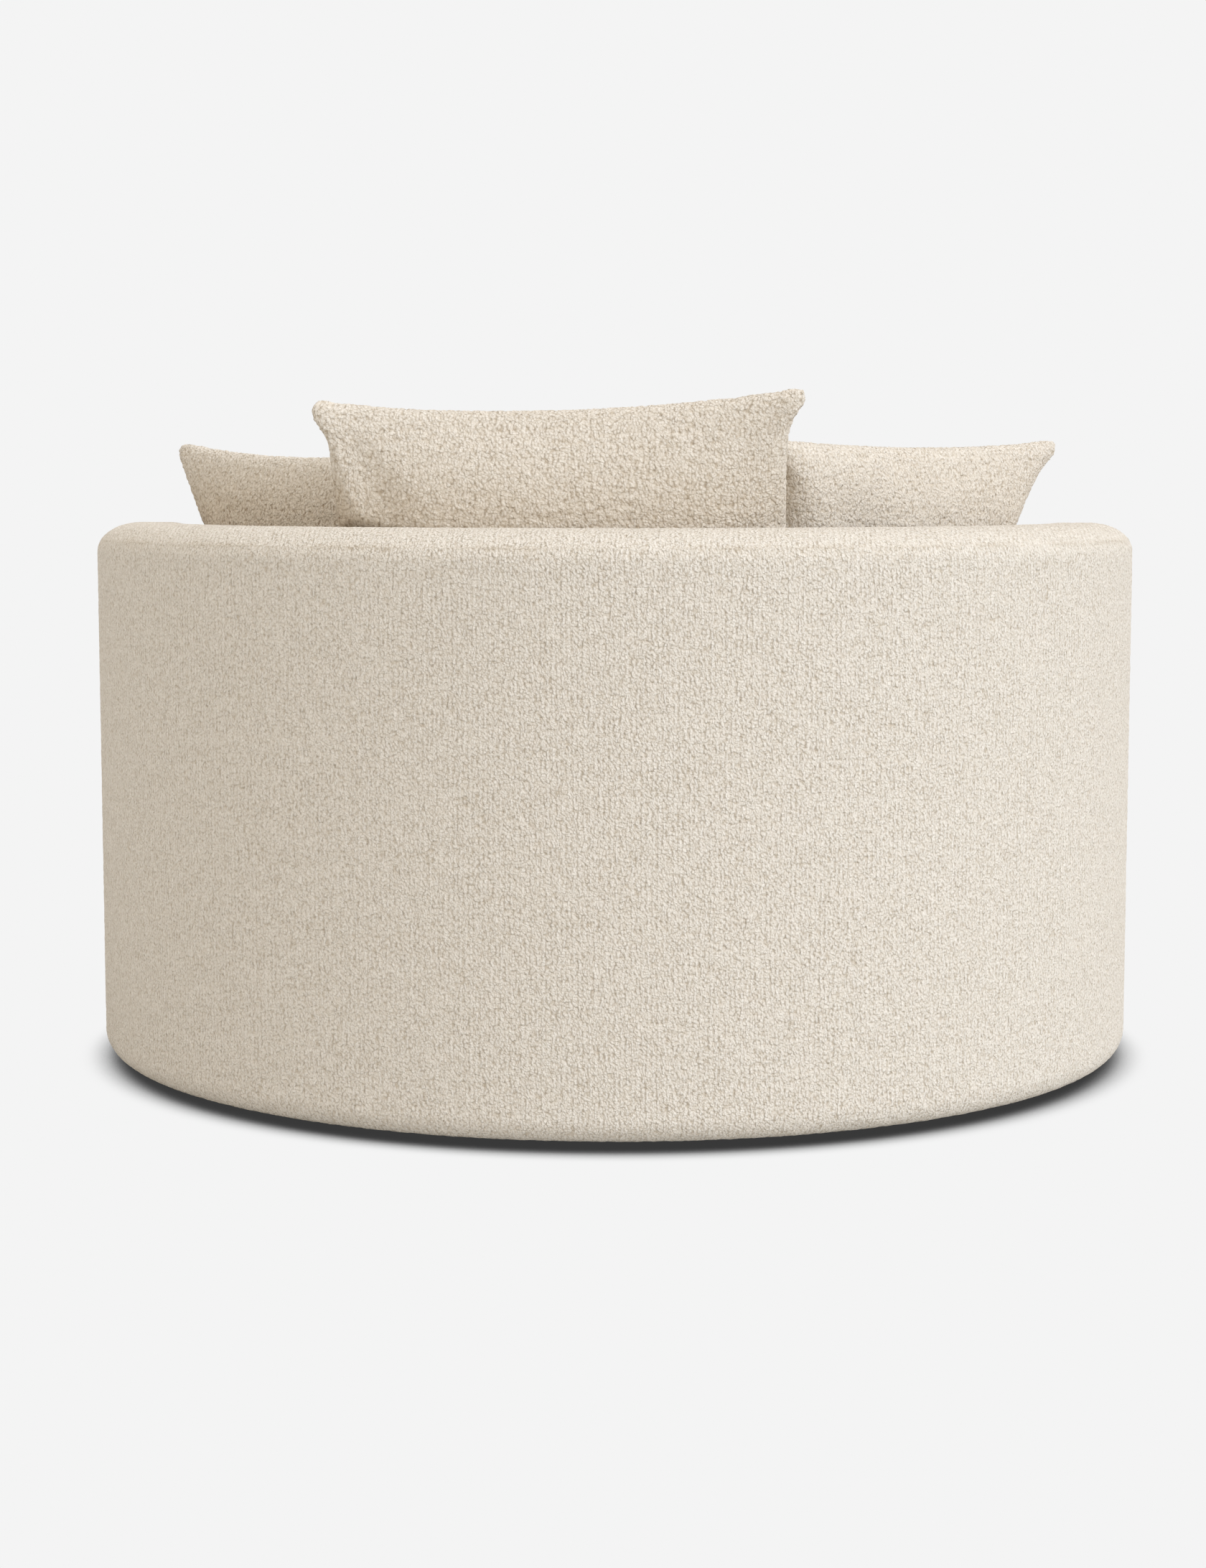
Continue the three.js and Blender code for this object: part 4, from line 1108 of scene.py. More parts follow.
def apply_modifiers(obj):
    graph = bpy.context.evaluated_depsgraph_get()
    graph.update()
    mesh = bpy.data.meshes.new_from_object(obj.evaluated_get(graph))
    obj.modifiers.clear()
    old = obj.data
    obj.data = mesh
    bpy.data.meshes.remove(old)
    mesh.name = obj.name


def fill_out(obj, cloth, most, most_inward=math.inf):
    """Fills a piece by pressure. `most` is how far each of its points may move, and
    `most_inward` how far into the piece, so that a cushion's edges stay full."""
    scene = bpy.context.scene
    before, normals = places(obj.data), outward(obj.data)
    made = obj.modifiers.new("Filling", "CLOTH")
    made.settings.quality = 4
    made.settings.mass = 0.3
    made.settings.use_pressure = True
    made.settings.uniform_pressure_force = cloth.pressure
    made.settings.tension_stiffness = 12
    made.settings.compression_stiffness = 12
    made.settings.bending_stiffness = 0.6
    made.settings.effector_weights.gravity = 0
    made.point_cache.frame_start = 1
    made.point_cache.frame_end = cloth.fill_frames + 1
    for frame_number in range(1, cloth.fill_frames + 1):
        scene.frame_set(frame_number)
    graph = bpy.context.evaluated_depsgraph_get()
    after = places(obj.evaluated_get(graph).data)
    obj.modifiers.clear()
    scene.frame_set(1)
    move = after - before
    length = np.linalg.norm(move, axis=1)
    move *= np.minimum(1, most / np.maximum(length, 1e-9))[:, None]
    inward = -np.sum(move * normals, axis=1)
    move += normals * np.maximum(0, inward - most_inward)[:, None]
    place(obj.data, before + move)


def tuck_in(filling, cover):
    """Brings a filling under its cover wherever it lies too near it or outside. The later, smaller
    gaps bring back what passed through a thin place."""
    tree = BVHTree.FromObject(cover, bpy.context.evaluated_depsgraph_get())
    points = places(filling.data)
    for depth in (FILLING_GAP, FILLING_GAP * 0.4, FILLING_GAP * 0.2):
        for index, point in enumerate(points):
            where, normal, _, _ = tree.find_nearest(Vector(point))
            if (where - Vector(point)).dot(normal) < depth:
                points[index] = where - normal * depth
    place(filling.data, points)


def drop_crumbs(obj):
    """Deletes the loose crumbs that a remesh leaves beside a piece."""
    bm = bmesh.new()
    bm.from_mesh(obj.data)
    left, parts = set(bm.verts), []
    while left:
        part, reached = set(), {left.pop()}
        while reached:
            part |= reached
            reached = {e.other_vert(v) for v in reached for e in v.link_edges} - part
        left -= part
        parts.append(part)
    parts.sort(key=len)
    crumbs = [v for part in parts[:-1] for v in part]
    bmesh.ops.delete(bm, geom=crumbs, context="VERTS")
    bm.to_mesh(obj.data)
    bm.free()


def subdivide(obj):
    made = obj.modifiers.new("Subdivision", "SUBSURF")
    made.levels = made.render_levels = 1
    apply_modifiers(obj)


def cushion_outline(sizes, inset, count):
    """The T-shaped seat seen from above: inside the wall at the back, full width before the arms."""
    inner, outer = sizes.inner_radius - inset, sizes.drum_radius - inset
    corner, end = sizes.cushion_corner, sizes.arm_end_angle
    along = math.sqrt((sizes.drum_radius - corner) ** 2 - corner ** 2)
    centre = polar(along, end) + polar(corner, end + math.pi / 2)
    turn_angle = end + math.asin(inset / inner)
    corner_angle = math.atan2(*centre)
    back = polar(inner, np.linspace(0, turn_angle, count))
    start = end - math.pi / 2
    arc = centre + polar(corner - inset, np.linspace(start, corner_angle, count // 6))
    front = polar(outer, np.linspace(corner_angle, math.pi, count)[1:])
    half = np.concatenate([back, arc, front])
    steps = np.linalg.norm(np.diff(half, axis=0), axis=1)
    run = np.concatenate([[0], np.cumsum(steps)])
    even = np.linspace(0, run[-1], count)
    half = np.stack([np.interp(even, run, half[:, k]) for k in (0, 1)], -1)
    return np.concatenate([half, half[::-1][1:] * [-1, 1]])


def cushion_mesh(name, sizes, inset, low, high, crown):
    """A closed cushion on the seat's outline, with rounded boxed edges and a crowned top."""
    count, edge = 90, sizes.cushion_edge
    turns = np.linspace(0, math.pi / 2, 5)
    rings = [(inset + edge * (1 - math.sin(t)), low + edge * (1 - math.cos(t)), 1.0) for t in turns]
    rings += [(inset, z, 1.0) for z in np.linspace(low + edge, high - edge, 8)[1:-1]]
    rings += [(m, high + low - z, s) for m, z, s in rings[4::-1]]
    shares = (0.97, 0.93, 0.88, 0.82, 0.75, 0.66, 0.55, 0.4, 0.25, 0.12)
    flat = 0.62
    rise = lambda s: crown * (1 - np.clip((s - flat) / (1 - flat), 0, 1) ** 2)
    rings += [(inset + edge, high + rise(s), s) for s in shares]
    rings = [(inset + edge, low, s) for s in shares[::-1]] + rings
    bm, *layers = start_cloth()
    rows = [
        np.concatenate([cushion_outline(sizes, m, count) * s, np.full((2 * count - 1, 1), z)], 1)
        for m, z, s in rings
    ]
    points = np.array(rows)
    lay_grid(bm, layers, points, points[..., :2], np.ones(points.shape[:2]))
    bmesh.ops.remove_doubles(bm, verts=bm.verts[:], dist=WELD)
    bmesh.ops.holes_fill(bm, edges=[e for e in bm.edges if e.is_boundary])
    bmesh.ops.recalc_face_normals(bm, faces=bm.faces[:])
    return make_object(name, bm)


def cloth_places(obj, weave, seam):
    """Stores on a mesh where each point lies in its cloth, and how far it is from a seam."""
    mesh = obj.data
    made = mesh.attributes.get("weave") or mesh.attributes.new("weave", "FLOAT_VECTOR", "POINT")
    made.data.foreach_set("vector", weave.astype(np.float32).ravel())
    write(mesh, "seam", seam)


def make_seat_cushion(sizes, cloth):
    """The T-shaped seat cushion, boxed, with a seam round each edge."""
    start = mm(5)
    low, high = CUSHION_BOTTOM, CUSHION_TOP - sizes.cushion_crown
    obj = cushion_mesh(
        "seat_cushion_boucle", sizes, sizes.cushion_inset + start, low + mm(1.5), high - start,
        sizes.cushion_crown,
    )
    remesh(obj, mm(12))
    before = places(obj.data)
    fill_out(obj, cloth, mm(24), mm(2))
    points = places(obj.data)
    edge_z = sizes.cushion_edge * 0.3
    top_seam, bottom_seam = high - edge_z - start, low + edge_z + mm(1.5)
    seam = np.minimum(abs(before[:, 2] - top_seam), abs(before[:, 2] - bottom_seam))
    on_flat = (before[:, 2] > top_seam + mm(4)) | (before[:, 2] < bottom_seam - mm(4))
    seam = np.where(on_flat, mm(60), seam)
    place(obj.data, keep_in_cushion_room(points, sizes))
    cloth_places(obj, before, seam)
    subdivide(obj)
    points = keep_in_cushion_room(places(obj.data), sizes)
    place(obj.data, points)
    raise_loops(obj, (mm(9.5), mm(9.5)), mm(1.2), mm(3), seed=8)
    press_zip_slot(obj, sizes)
    return dress(
        obj, "boucle", "seat_cushion", ["seat_cushion_cover"],
    )


def keep_in_cushion_room(points, sizes):
    """Keeps the cushion off the platform, the wall and the pillows."""
    x, y, z = points.T
    radius = np.hypot(x, y)
    behind = y > math.cos(sizes.arm_end_angle) * radius
    most = np.where(behind, sizes.inner_radius - mm(5), sizes.drum_radius + mm(4))
    scale = np.minimum(1, most / np.maximum(radius, 1e-9))
    proud = mm(9) * smooth_step(-y, mm(250), mm(420))
    top = CUSHION_TOP + np.where(y < 0, proud, 0)
    return np.stack([x * scale, y * scale, np.clip(z, CUSHION_BOTTOM, top)], -1)


def press_zip_slot(obj, sizes):
    """Sinks the cloth behind the seat cushion's zip."""
    points = places(obj.data)
    x, y, z = points.T
    middle = (SEAT_ZIP[0].z + SEAT_ZIP[1].z) / 2
    half_angle = math.asin(SEAT_ZIP[1].x / SEAT_ZIP[1].y)
    near = (abs(z - middle) < mm(6)) & (abs(np.arctan2(x, y)) < half_angle + 0.005) & (y > 0)
    radius = np.hypot(x, y)
    limit = SEAT_ZIP[1].y - mm(3.4)
    scale = np.where(near & (radius > limit), limit / np.maximum(radius, 1e-9), 1)
    place(obj.data, np.stack([x * scale, y * scale, z], -1))


class Pillow:
    """A back pillow as the frame has it. Its own frame has X along its width, Y to its back and Z
    up its height, from the middle of its bottom."""

    sink, rest_clearance, rim = mm(25), mm(6), mm(13)

    def __init__(self, sizes, name, from_wall, aside, facing, lean, roll, bow):
        self.sizes, self.name, self.bow = sizes, name, bow
        self.ears = {1: (0, 0), -1: (0, 0)}
        self.tilt = self.flank = 0
        self.sag = sizes.pillow_draw_in
        self.sides = {1: 1.25, -1: 1.25}
        self.facing = math.radians(facing)
        foot = polar(sizes.inner_radius - from_wall, self.facing)
        foot = foot + polar(aside, self.facing + math.pi / 2)
        turns = (
            Matrix.Rotation(-self.facing, 4, "Z")
            @ Matrix.Rotation(-math.radians(lean), 4, "X")
            @ Matrix.Rotation(math.radians(roll), 4, "Y")
        )
        self.matrix = Matrix.Translation((*foot, PILLOW_REST - self.sink)) @ turns

    def local(self, points):
        return moved_by(points, self.matrix.inverted())

    def world(self, points):
        return moved_by(points, self.matrix)

    def half_thickness(self, u, v):
        """Half of the thickness. `flank` is the side, 1 or -1, that is stuffed square."""
        fullness = lambda t, power: np.maximum(0, 1 - np.abs(t) ** power) ** 0.62
        across = fullness(u, np.where(u * self.flank > 0, 12.0, 2.2))
        return self.sizes.pillow_thickness / 2 * (1 - 0.08 * v) * across * fullness(v, 2.2)

    def bowed(self, v):
        return self.bow * (1 - v ** 2)

    def skin(self, u, v, side, shrink):
        """Points of the pillow's skin in its own frame, `shrink` inside it. Its edge is stuffed
        round, also in the ears."""
        sizes, ear = self.sizes, mm(28)
        half_width = sizes.pillow_width / 2 - shrink
        half_height = sizes.pillow_height / 2
        to_side, to_end = half_width * (1 - np.abs(u)), half_height * (1 - np.abs(v))
        a, b = np.maximum(0, ear - to_side), np.maximum(0, ear - to_end)
        reach = np.maximum(np.hypot(a, b), 1e-9)
        pull = np.minimum(1, ear / reach)
        depth = np.where((a > 0) & (b > 0), ear - reach * pull, np.minimum(to_side, to_end))
        x = np.sign(u) * (half_width - np.where(a > 0, ear - a * pull, to_side))
        z = np.sign(v) * (half_height - np.where(b > 0, ear - b * pull, to_end))
        rim = self.rim - shrink
        tube = rim * np.sqrt(1 - (1 - np.clip(depth / rim, 0, 1)) ** 2)
        body = self.half_thickness(u, v) * (1 - 2 * shrink / sizes.pillow_thickness)
        half = np.hypot(body, tube)
        on_plus = u > 0
        draw = sizes.pillow_draw_in * np.where(on_plus, self.sides[1], self.sides[-1])
        out, up = (np.where(on_plus, a, b) for a, b in zip(self.ears[1], self.ears[-1]))
        ear_jut = (mm(6) + np.where(v > 0, out, 0)) * smooth_step(np.abs(v), 0.8, 0.97)
        draw_in = draw * (1 - np.abs(v) ** 6) - ear_jut
        x = x * (1 - draw_in / half_width)
        rise = self.tilt * (1 - u) / 2 + up * np.abs(u) ** 5
        sag = np.where(v > 0, (self.sag * (1 - u ** 2) + shrink - rise) * v, 0)
        return np.stack([x, self.bowed(v) + side * half, half_height + z - sag], -1)

    def keep(self, points, clearance, centre=None, back=None):
        """Keeps points above the seat, inside the wall and off the pillow in the middle."""
        up = np.array(self.matrix.col[2][:3])
        depth = np.maximum(0, PILLOW_REST - points[:, 2])
        points = points + up * (depth / up[2])[:, None]
        sizes = self.sizes
        roll_start = sizes.wall_height - sizes.roll_drop / 2
        limit = sizes.inner_radius - self.rest_clearance - clearance
        limit = limit + 1.3 * np.maximum(0, points[:, 2] - roll_start)
        along = polar(1, self.facing)
        run = points[:, :2] @ along
        reach = np.hypot(points[:, 0], points[:, 1])
        inside = np.sqrt(np.maximum(0, run ** 2 - reach ** 2 + limit ** 2))
        back_by = np.where(reach > limit, run - inside, 0)
        points[:, :2] -= back_by[:, None] * along
        if centre:
            points = centre.push_off(points, self.rest_clearance + clearance, back)
            sign = math.copysign(1, self.facing)
            points[:, 0] = sign * np.maximum(sign * points[:, 0], self.rest_clearance)
        points[:, 2] = np.maximum(points[:, 2], PILLOW_REST)
        return points

    def push_off(self, points, clearance, back):
        """Moves another pillow's points off this one's front."""
        local = self.local(points)
        u = 2 * local[:, 0] / (self.sizes.pillow_width - self.sizes.pillow_draw_in / 2)
        v = 2 * local[:, 2] / self.sizes.pillow_height - 1
        beyond = np.maximum(0, np.abs(u) - 1) + np.maximum(0, np.abs(v) - 1)
        u, v = np.clip(u, -1, 1), np.clip(v, -1, 1)
        front = self.bowed(v) - self.half_thickness(u, v)
        least = mm(16) * (1 - np.clip(back, 0, 1))
        local[:, 1] = np.minimum(local[:, 1], front - clearance - least + 4.0 * beyond)
        return self.world(local)


def moved_by(points, matrix):
    m = np.array(matrix)
    return points @ m[:3, :3].T + m[:3, 3]


def pillow_mesh(pillow, centre, shrink):
    """A pillow's closed skin, `shrink` inside its full size."""
    steps = 96
    t = np.sin(np.linspace(-math.pi / 2, math.pi / 2, steps + 1))
    u, v = np.meshgrid(t, t)
    bm, *layers = start_cloth()
    for side in (-1, 1):
        points = pillow.skin(u, v, side, shrink).reshape(-1, 3)
        back = np.full(len(points), 0.5 + side / 2)
        edge = (np.maximum(np.abs(u), np.abs(v)) > 0.9999).ravel()
        back[edge] = 1
        kept = pillow.keep(pillow.world(points), shrink, centre, back)
        grid = kept.reshape(steps + 1, steps + 1, 3)
        lay_grid(bm, layers, grid, np.stack([u, v], -1), np.ones_like(u))
    bmesh.ops.remove_doubles(bm, verts=bm.verts[:], dist=WELD)
    bmesh.ops.recalc_face_normals(bm, faces=bm.faces[:])
    return make_object(f"{pillow.name}_boucle", bm)


def make_pillow(sizes, cloth, pillow, centre, folds, painted_shading, seed):
    """A back pillow: a knife-edged cover, filled out, with folds running in from its ears. It gets
    painted shade low down, by the first number of `painted_shading`, and by the second beside its left
    ear, in the shaded strip below the fold from that ear."""
    shrink = mm(2.5)
    obj = pillow_mesh(pillow, centre, shrink)
    remesh(obj, mm(6.5))
    before = pillow.local(places(obj.data))
    u = before[:, 0] / (sizes.pillow_width / 2 - sizes.pillow_draw_in)
    v = before[:, 2] / (sizes.pillow_height / 2) - 1
    edge = np.clip(1 - np.maximum(np.abs(u), np.abs(v)), 0, 1)
    calm = smooth_step(u * pillow.flank, 0.2, 0.5)
    most = mm(2) + mm(14) * smooth_step(edge, 0.02, 0.45) * (1 - calm)
    fill_out(obj, cloth, most)
    local = pillow.local(places(obj.data))
    middle = pillow.bowed(np.clip(v, -1, 1))
    seam = np.where(edge < 0.2, np.abs(before[:, 1] - middle), mm(60))
    back = (before[:, 1] > middle).astype(float)
    cloth_places(obj, before[:, [0, 2, 1]] * [0.8, 0.9, 0.8], seam)
    for (x0, z0), (x1, z1), width, height in folds:
        local[:, 1] += ridge(before, back, x0, z0, x1, z1, width, height)
    place(obj.data, pillow.keep(pillow.world(local), 0, centre, back))
    subdivide(obj)
    points = places(obj.data)
    local = pillow.local(points)
    side = (local[:, 1] > pillow.bowed(np.clip(local[:, 2] / sizes.pillow_height * 2 - 1, -1, 1)))
    place(obj.data, pillow.keep(points, 0, centre, side.astype(float)))
    # Painted shade: the cloth is darkened low down on the pillow and in a strip below the fold from
    # its left ear.
    low, beside = painted_shading
    x, y, z = local.T
    line = (x - mm(237)) - 0.58 * (z - mm(393))
    painted_shade = low * smooth_step(points[:, 2], mm(890), mm(795))
    painted_shade = painted_shade + beside * smooth_step(line, mm(-14), mm(30)) * smooth_step(z, mm(560), mm(500))
    raise_loops(
        obj, (mm(5.2), mm(5.8)), cloth.nub_depth, mm(0.4), 0.3, seed=seed, ribbing=0.3, painted_shade=painted_shade,
    )
    sink_pillow_zip(obj, pillow)
    return dress(obj, "boucle", pillow.name, [f"{pillow.name}_cover"])


def ridge(before, back, x0, z0, x1, z1, width, height):
    """Height of a soft fold on a pillow's back, along a line in its own frame."""
    start, finish = np.array([x0, z0]), np.array([x1, z1])
    line = finish - start
    place_on = before[:, [0, 2]] - start
    t = np.clip(place_on @ line / (line @ line), 0, 1)
    off = np.linalg.norm(place_on - t[:, None] * line, axis=1)
    return back * height * np.exp(-((off / width) ** 2)) * np.sin(math.pi * np.clip(t, 0.02, 1)) ** 0.6


def sink_pillow_zip(obj, pillow):
    """Sinks the cloth round the zip in a pillow's flat bottom."""
    low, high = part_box(f"{pillow.name}_zip")
    foot = np.array([(low.x + high.x) / 2, (low.y + high.y) / 2])
    points = places(obj.data)
    rel = points[:, :2] - foot
    across = rel @ polar(1, pillow.facing + math.pi / 2)
    off = rel @ polar(1, pillow.facing)
    near = (abs(across) < mm(172)) & (abs(off) < mm(5.5)) & (points[:, 2] < PILLOW_REST + mm(30))
    points[:, 2] = np.where(near, np.maximum(points[:, 2], PILLOW_REST + mm(5.2)), points[:, 2])
    place(obj.data, points)


def pillows(sizes):
    centre = Pillow(sizes, "centre_pillow", mm(292), mm(35), 0, 24.7, 0.75, mm(24))
    left = Pillow(sizes, "left_pillow", mm(438), mm(105), 46, 35.8, -1, mm(46))
    right = Pillow(sizes, "right_pillow", mm(437), mm(-110), -50, 35, 0.5, mm(24))
    centre.ears = {1: (mm(12), mm(8)), -1: (mm(8), mm(4))}
    centre.sides = {1: 0.65, -1: 1.0}
    centre.tilt = mm(11)
    left.ears = {1: (mm(-8), mm(9)), -1: (0, 0)}
    left.sides = {1: 0.8, -1: 1.25}
    right.ears = {1: (0, 0), -1: (mm(8), mm(10))}
    right.flank = 1
    right.sag = mm(12)
    return [centre, left, right]


# Padding under the covers

def copy_of(node, name):
    """A merged copy of a frame piece's mesh."""
    bm = bmesh.new()
    bm.from_mesh(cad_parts[node].data)
    bmesh.ops.remove_doubles(bm, verts=bm.verts[:], dist=mm(0.01))
    return make_object(name, bm)


def make_padding(node, slot, body, voxel):
    """Soft padding on a frame piece's form, with softened edges and an uneven hand-cut face."""
    obj = copy_of(node, f"{node}_padding")
    remesh(obj, voxel)
    drop_crumbs(obj)
    softened = obj.modifiers.new("Softened", "SMOOTH")
    softened.factor = 0.5
    softened.iterations = 3
    apply_modifiers(obj)
    points, normals = places(obj.data), outward(obj.data)
    x, y, z = points.T / mm(60)
    uneven = 0.5 + 0.5 * np.sin(x + 1.7 * np.sin(z)) * np.sin(1.3 * y + z)
    place(obj.data, points - normals * (mm(0.3) + mm(0.9) * uneven)[:, None])
    return dress(obj, slot, body, [node])


def wadding_panel(name, shape, columns, rows, coarse_columns, coarse_rows, thickness, start):
    """A quilt of wadding, `start` below the cover's face."""
    bm, *layers = start_cloth()
    lay_grid(bm, layers, *shape(columns, rows, start))
    close_back(bm, layers, *shape(coarse_columns, coarse_rows, start + thickness))
    obj = make_object(name, bm)
    points = places(obj.data)
    x, y, z = points.T / mm(45)
    soft = mm(0.5) * (1 + np.sin(x + y) * np.sin(z * 1.3 + x))
    place(obj.data, points - outward(obj.data) * soft[:, None])
    return obj


def make_waddings(sizes):
    plan = WallPlan(sizes)
    start, thick = PANEL_THICKNESS + mm(0.5), mm(11.5)
    low = FLOOR_GAP + sizes.bottom_edge + QUILT_CLEARANCE
    made = []
    for pitch in QUILT_PITCHES:
        half = plan.stations(0, 1, pitch)
        rows = level_pairs(spaced(low, RAIL_TOP - mm(1), pitch), 0.0)
        made += [joined(-half[::-1], half), rows]
    obj = wadding_panel("outer_back_quilt", wall_shape(sizes, plan), *made, thick, start)
    dress(obj, "wadding", replaced=["outer_back_wadding"])
    made = []
    for pitch in QUILT_PITCHES:
        angle = coat_seam_angle(sizes) + mm(2) / sizes.drum_radius
        angles = spaced(angle, 2 * math.pi - angle, pitch / sizes.drum_radius)
        rows = level_pairs(spaced(low, DECK_TOP - sizes.deck_edge - mm(8), pitch), 0.0)
        made += [angles, rows]
    obj = wadding_panel("front_quilt", front_shape(sizes, plan), *made, thick, start)
    return dress(obj, "wadding", replaced=["front_wadding"])


def make_disc_cloth(name, node, slot, sag, outline=None):
    """A thin cloth stretched over the platform or the underside, slightly slack between its
    fixings, with its two faces closed at the rim."""
    low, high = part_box(node)
    bm, *layers = start_cloth()
    rings, count = 26, 120
    top = []
    if outline is None:
        angles = np.linspace(0, 2 * math.pi, count + 1)
        edge = polar(high.x, angles)
    else:
        edge = outline
    for k in range(1, rings + 1):
        share = k / rings
        dip = sag * (1 - share ** 2) * (0.8 + 0.2 * np.cos(5 * np.arctan2(edge[:, 0], edge[:, 1])))
        top.append(np.concatenate([edge * share, (high.z - dip)[:, None]], 1))
    top = np.array(top)
    under = top[::-1].copy()
    under[..., 2] -= high.z - low.z
    points = np.concatenate([top, under])
    lay_grid(bm, layers, points, points[..., :2], np.ones(points.shape[:2]))
    bmesh.ops.remove_doubles(bm, verts=bm.verts[:], dist=WELD)
    bmesh.ops.holes_fill(bm, edges=[e for e in bm.edges if e.is_boundary])
    bmesh.ops.recalc_face_normals(bm, faces=bm.faces[:])
    return dress(make_object(name, bm), slot, replaced=[node])


# Directions and tints of the studio's light

KEY_FROM = (-0.78, 0.42, 0.55)
TOP_FROM = (0.05, 0.25, 1.0)
KEY_TINT = (0.90, 0.99, 1.13)
FILL_TINT = (1, 0.945, 0.875, 1)


# Operators

def sizes_and_cloth(context):
    return context.scene.chair_sizes, context.scene.chair_cloth


class CHAIR_OT_outer_back(Operator):
    """Cover the outside of the back with its nubby panel"""
    bl_idname = "chair.outer_back"
    bl_label = "Outer Back"

    def execute(self, context):
        make_outer_back(*sizes_and_cloth(context))
        return {"FINISHED"}


class CHAIR_OT_inner_back(Operator):
    """Cover the inside of the back"""
    bl_idname = "chair.inner_back"
    bl_label = "Inner Back"

    def execute(self, context):
        make_inner_back(*sizes_and_cloth(context))
        return {"FINISHED"}


class CHAIR_OT_arm_bands(Operator):
    """Cover the end of each arm"""
    bl_idname = "chair.arm_bands"
    bl_label = "Arm Bands"

    def execute(self, context):
        sizes, cloth = sizes_and_cloth(context)
        make_arm_band(sizes, cloth, "left_arm_boucle", 1, "left_arm_front_band")
        make_arm_band(sizes, cloth, "right_arm_boucle", -1, "right_arm_front_band")
        return {"FINISHED"}


class CHAIR_OT_top_band(Operator):
    """Cover the rolled top of the wall"""
    bl_idname = "chair.top_band"
    bl_label = "Top Band"

    def execute(self, context):
        make_top_band(*sizes_and_cloth(context))
        return {"FINISHED"}


class CHAIR_OT_front_border(Operator):
    """Cover the front of the drum"""
    bl_idname = "chair.front_border"
    bl_label = "Front Border"

    def execute(self, context):
        make_front(*sizes_and_cloth(context))
        return {"FINISHED"}


class CHAIR_OT_padding(Operator):
    """Make the foam and the wadding under the covers"""
    bl_idname = "chair.padding"
    bl_label = "Padding"

    def execute(self, context):
        sizes = context.scene.chair_sizes
        make_padding("top_roll_foam", "foam", BODY, mm(9))
        make_padding("left_arm_end_foam", "foam", BODY, mm(8))
        make_padding("right_arm_end_foam", "foam", BODY, mm(8))
        make_padding("inner_back_foam", "foam", BODY, mm(12))
        make_padding("deck_pad", "wadding", BODY, mm(8))
        make_waddings(sizes)
        return {"FINISHED"}


class CHAIR_OT_platform(Operator):
    """Stretch the platform cloth and the dust cover"""
    bl_idname = "chair.platform"
    bl_label = "Platform and Dust Cover"

    def execute(self, context):
        sizes = context.scene.chair_sizes
        under = make_disc_cloth("dust_cover_cloth", "dust_cover", "cambric", 0.0)
        outline = cushion_outline(sizes, mm(2), 80)
        radius = np.hypot(outline[:, 0], outline[:, 1])
        reach = -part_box("platform_cloth")[0].y
        outline = outline * np.minimum(1, reach / radius)[:, None]
        upper = make_disc_cloth("platform_cloth_sheet", "platform_cloth", "lining", mm(0.6), outline)
        return {"FINISHED"}


class CHAIR_OT_seat_cushion(Operator):
    """Make and fill the seat cushion"""
    bl_idname = "chair.seat_cushion"
    bl_label = "Seat Cushion"

    def execute(self, context):
        sizes, cloth = sizes_and_cloth(context)
        cover = make_seat_cushion(sizes, cloth)
        core = make_padding("seat_cushion_core", "foam", "seat_cushion", mm(12))
        tuck_in(core, cover)
        return {"FINISHED"}


class CHAIR_OT_back_pillows(Operator):
    """Make and fill the three back pillows"""
    bl_idname = "chair.back_pillows"
    bl_label = "Back Pillows"

    def execute(self, context):
        sizes, cloth = sizes_and_cloth(context)
        centre, left, right = pillows(sizes)
        ear_folds = [
            ((mm(335), mm(600)), (mm(240), mm(360)), mm(30), mm(20)),
            ((mm(-310), mm(590)), (mm(-240), mm(400)), mm(26), mm(6)),
        ]
        side_folds = [
            ((mm(250), mm(520)), (mm(140), mm(380)), mm(24), mm(5)),
            ((mm(-250), mm(520)), (mm(-150), mm(400)), mm(24), mm(5)),
        ]
        # The last pair of each gives the painted shade low down and beside the left ear.
        covers = [
            make_pillow(sizes, cloth, centre, None, ear_folds, (0.3, 1.0), 11),
            make_pillow(sizes, cloth, left, centre, side_folds, (1.0, 0.0), 12),
            make_pillow(sizes, cloth, right, centre, side_folds, (0.1, 0.0), 13),
        ]
        for pillow, cover in zip((centre, left, right), covers):
            insert = make_padding(f"{pillow.name}_insert", "lining", pillow.name, mm(11))
            tuck_in(insert, cover)
        return {"FINISHED"}


class CHAIR_OT_frame_finishes(Operator):
    """Give the frame, the fittings and the zips their materials"""
    bl_idname = "chair.frame_finishes"
    bl_label = "Frame Finishes"

    def execute(self, context):
        kinds = {
            "plywood": ["base_board", "seat_board", "top_rail"],
            "lumber": [
                "rear_cross_rail", "front_cross_rail",
                *[f"base_post_{i}" for i in range(1, 8)],
                *[f"back_stud_{i}" for i in range(1, 6)],
            ],
            "hardboard": ["outer_back_board", "front_board", "inner_back_board"],
            "webbing": ["seat_webbing"],
            "glide": [f"glide_{i}" for i in range(1, 7)],
            "zip": [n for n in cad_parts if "_zip" in n],
        }
        for slot, names in kinds.items():
            for name in names:
                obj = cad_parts[name]
                if not obj.material_slots:
                    obj.data.materials.append(None)
                for held in obj.material_slots:
                    held.material = finish_of(slot)
        return {"FINISHED"}


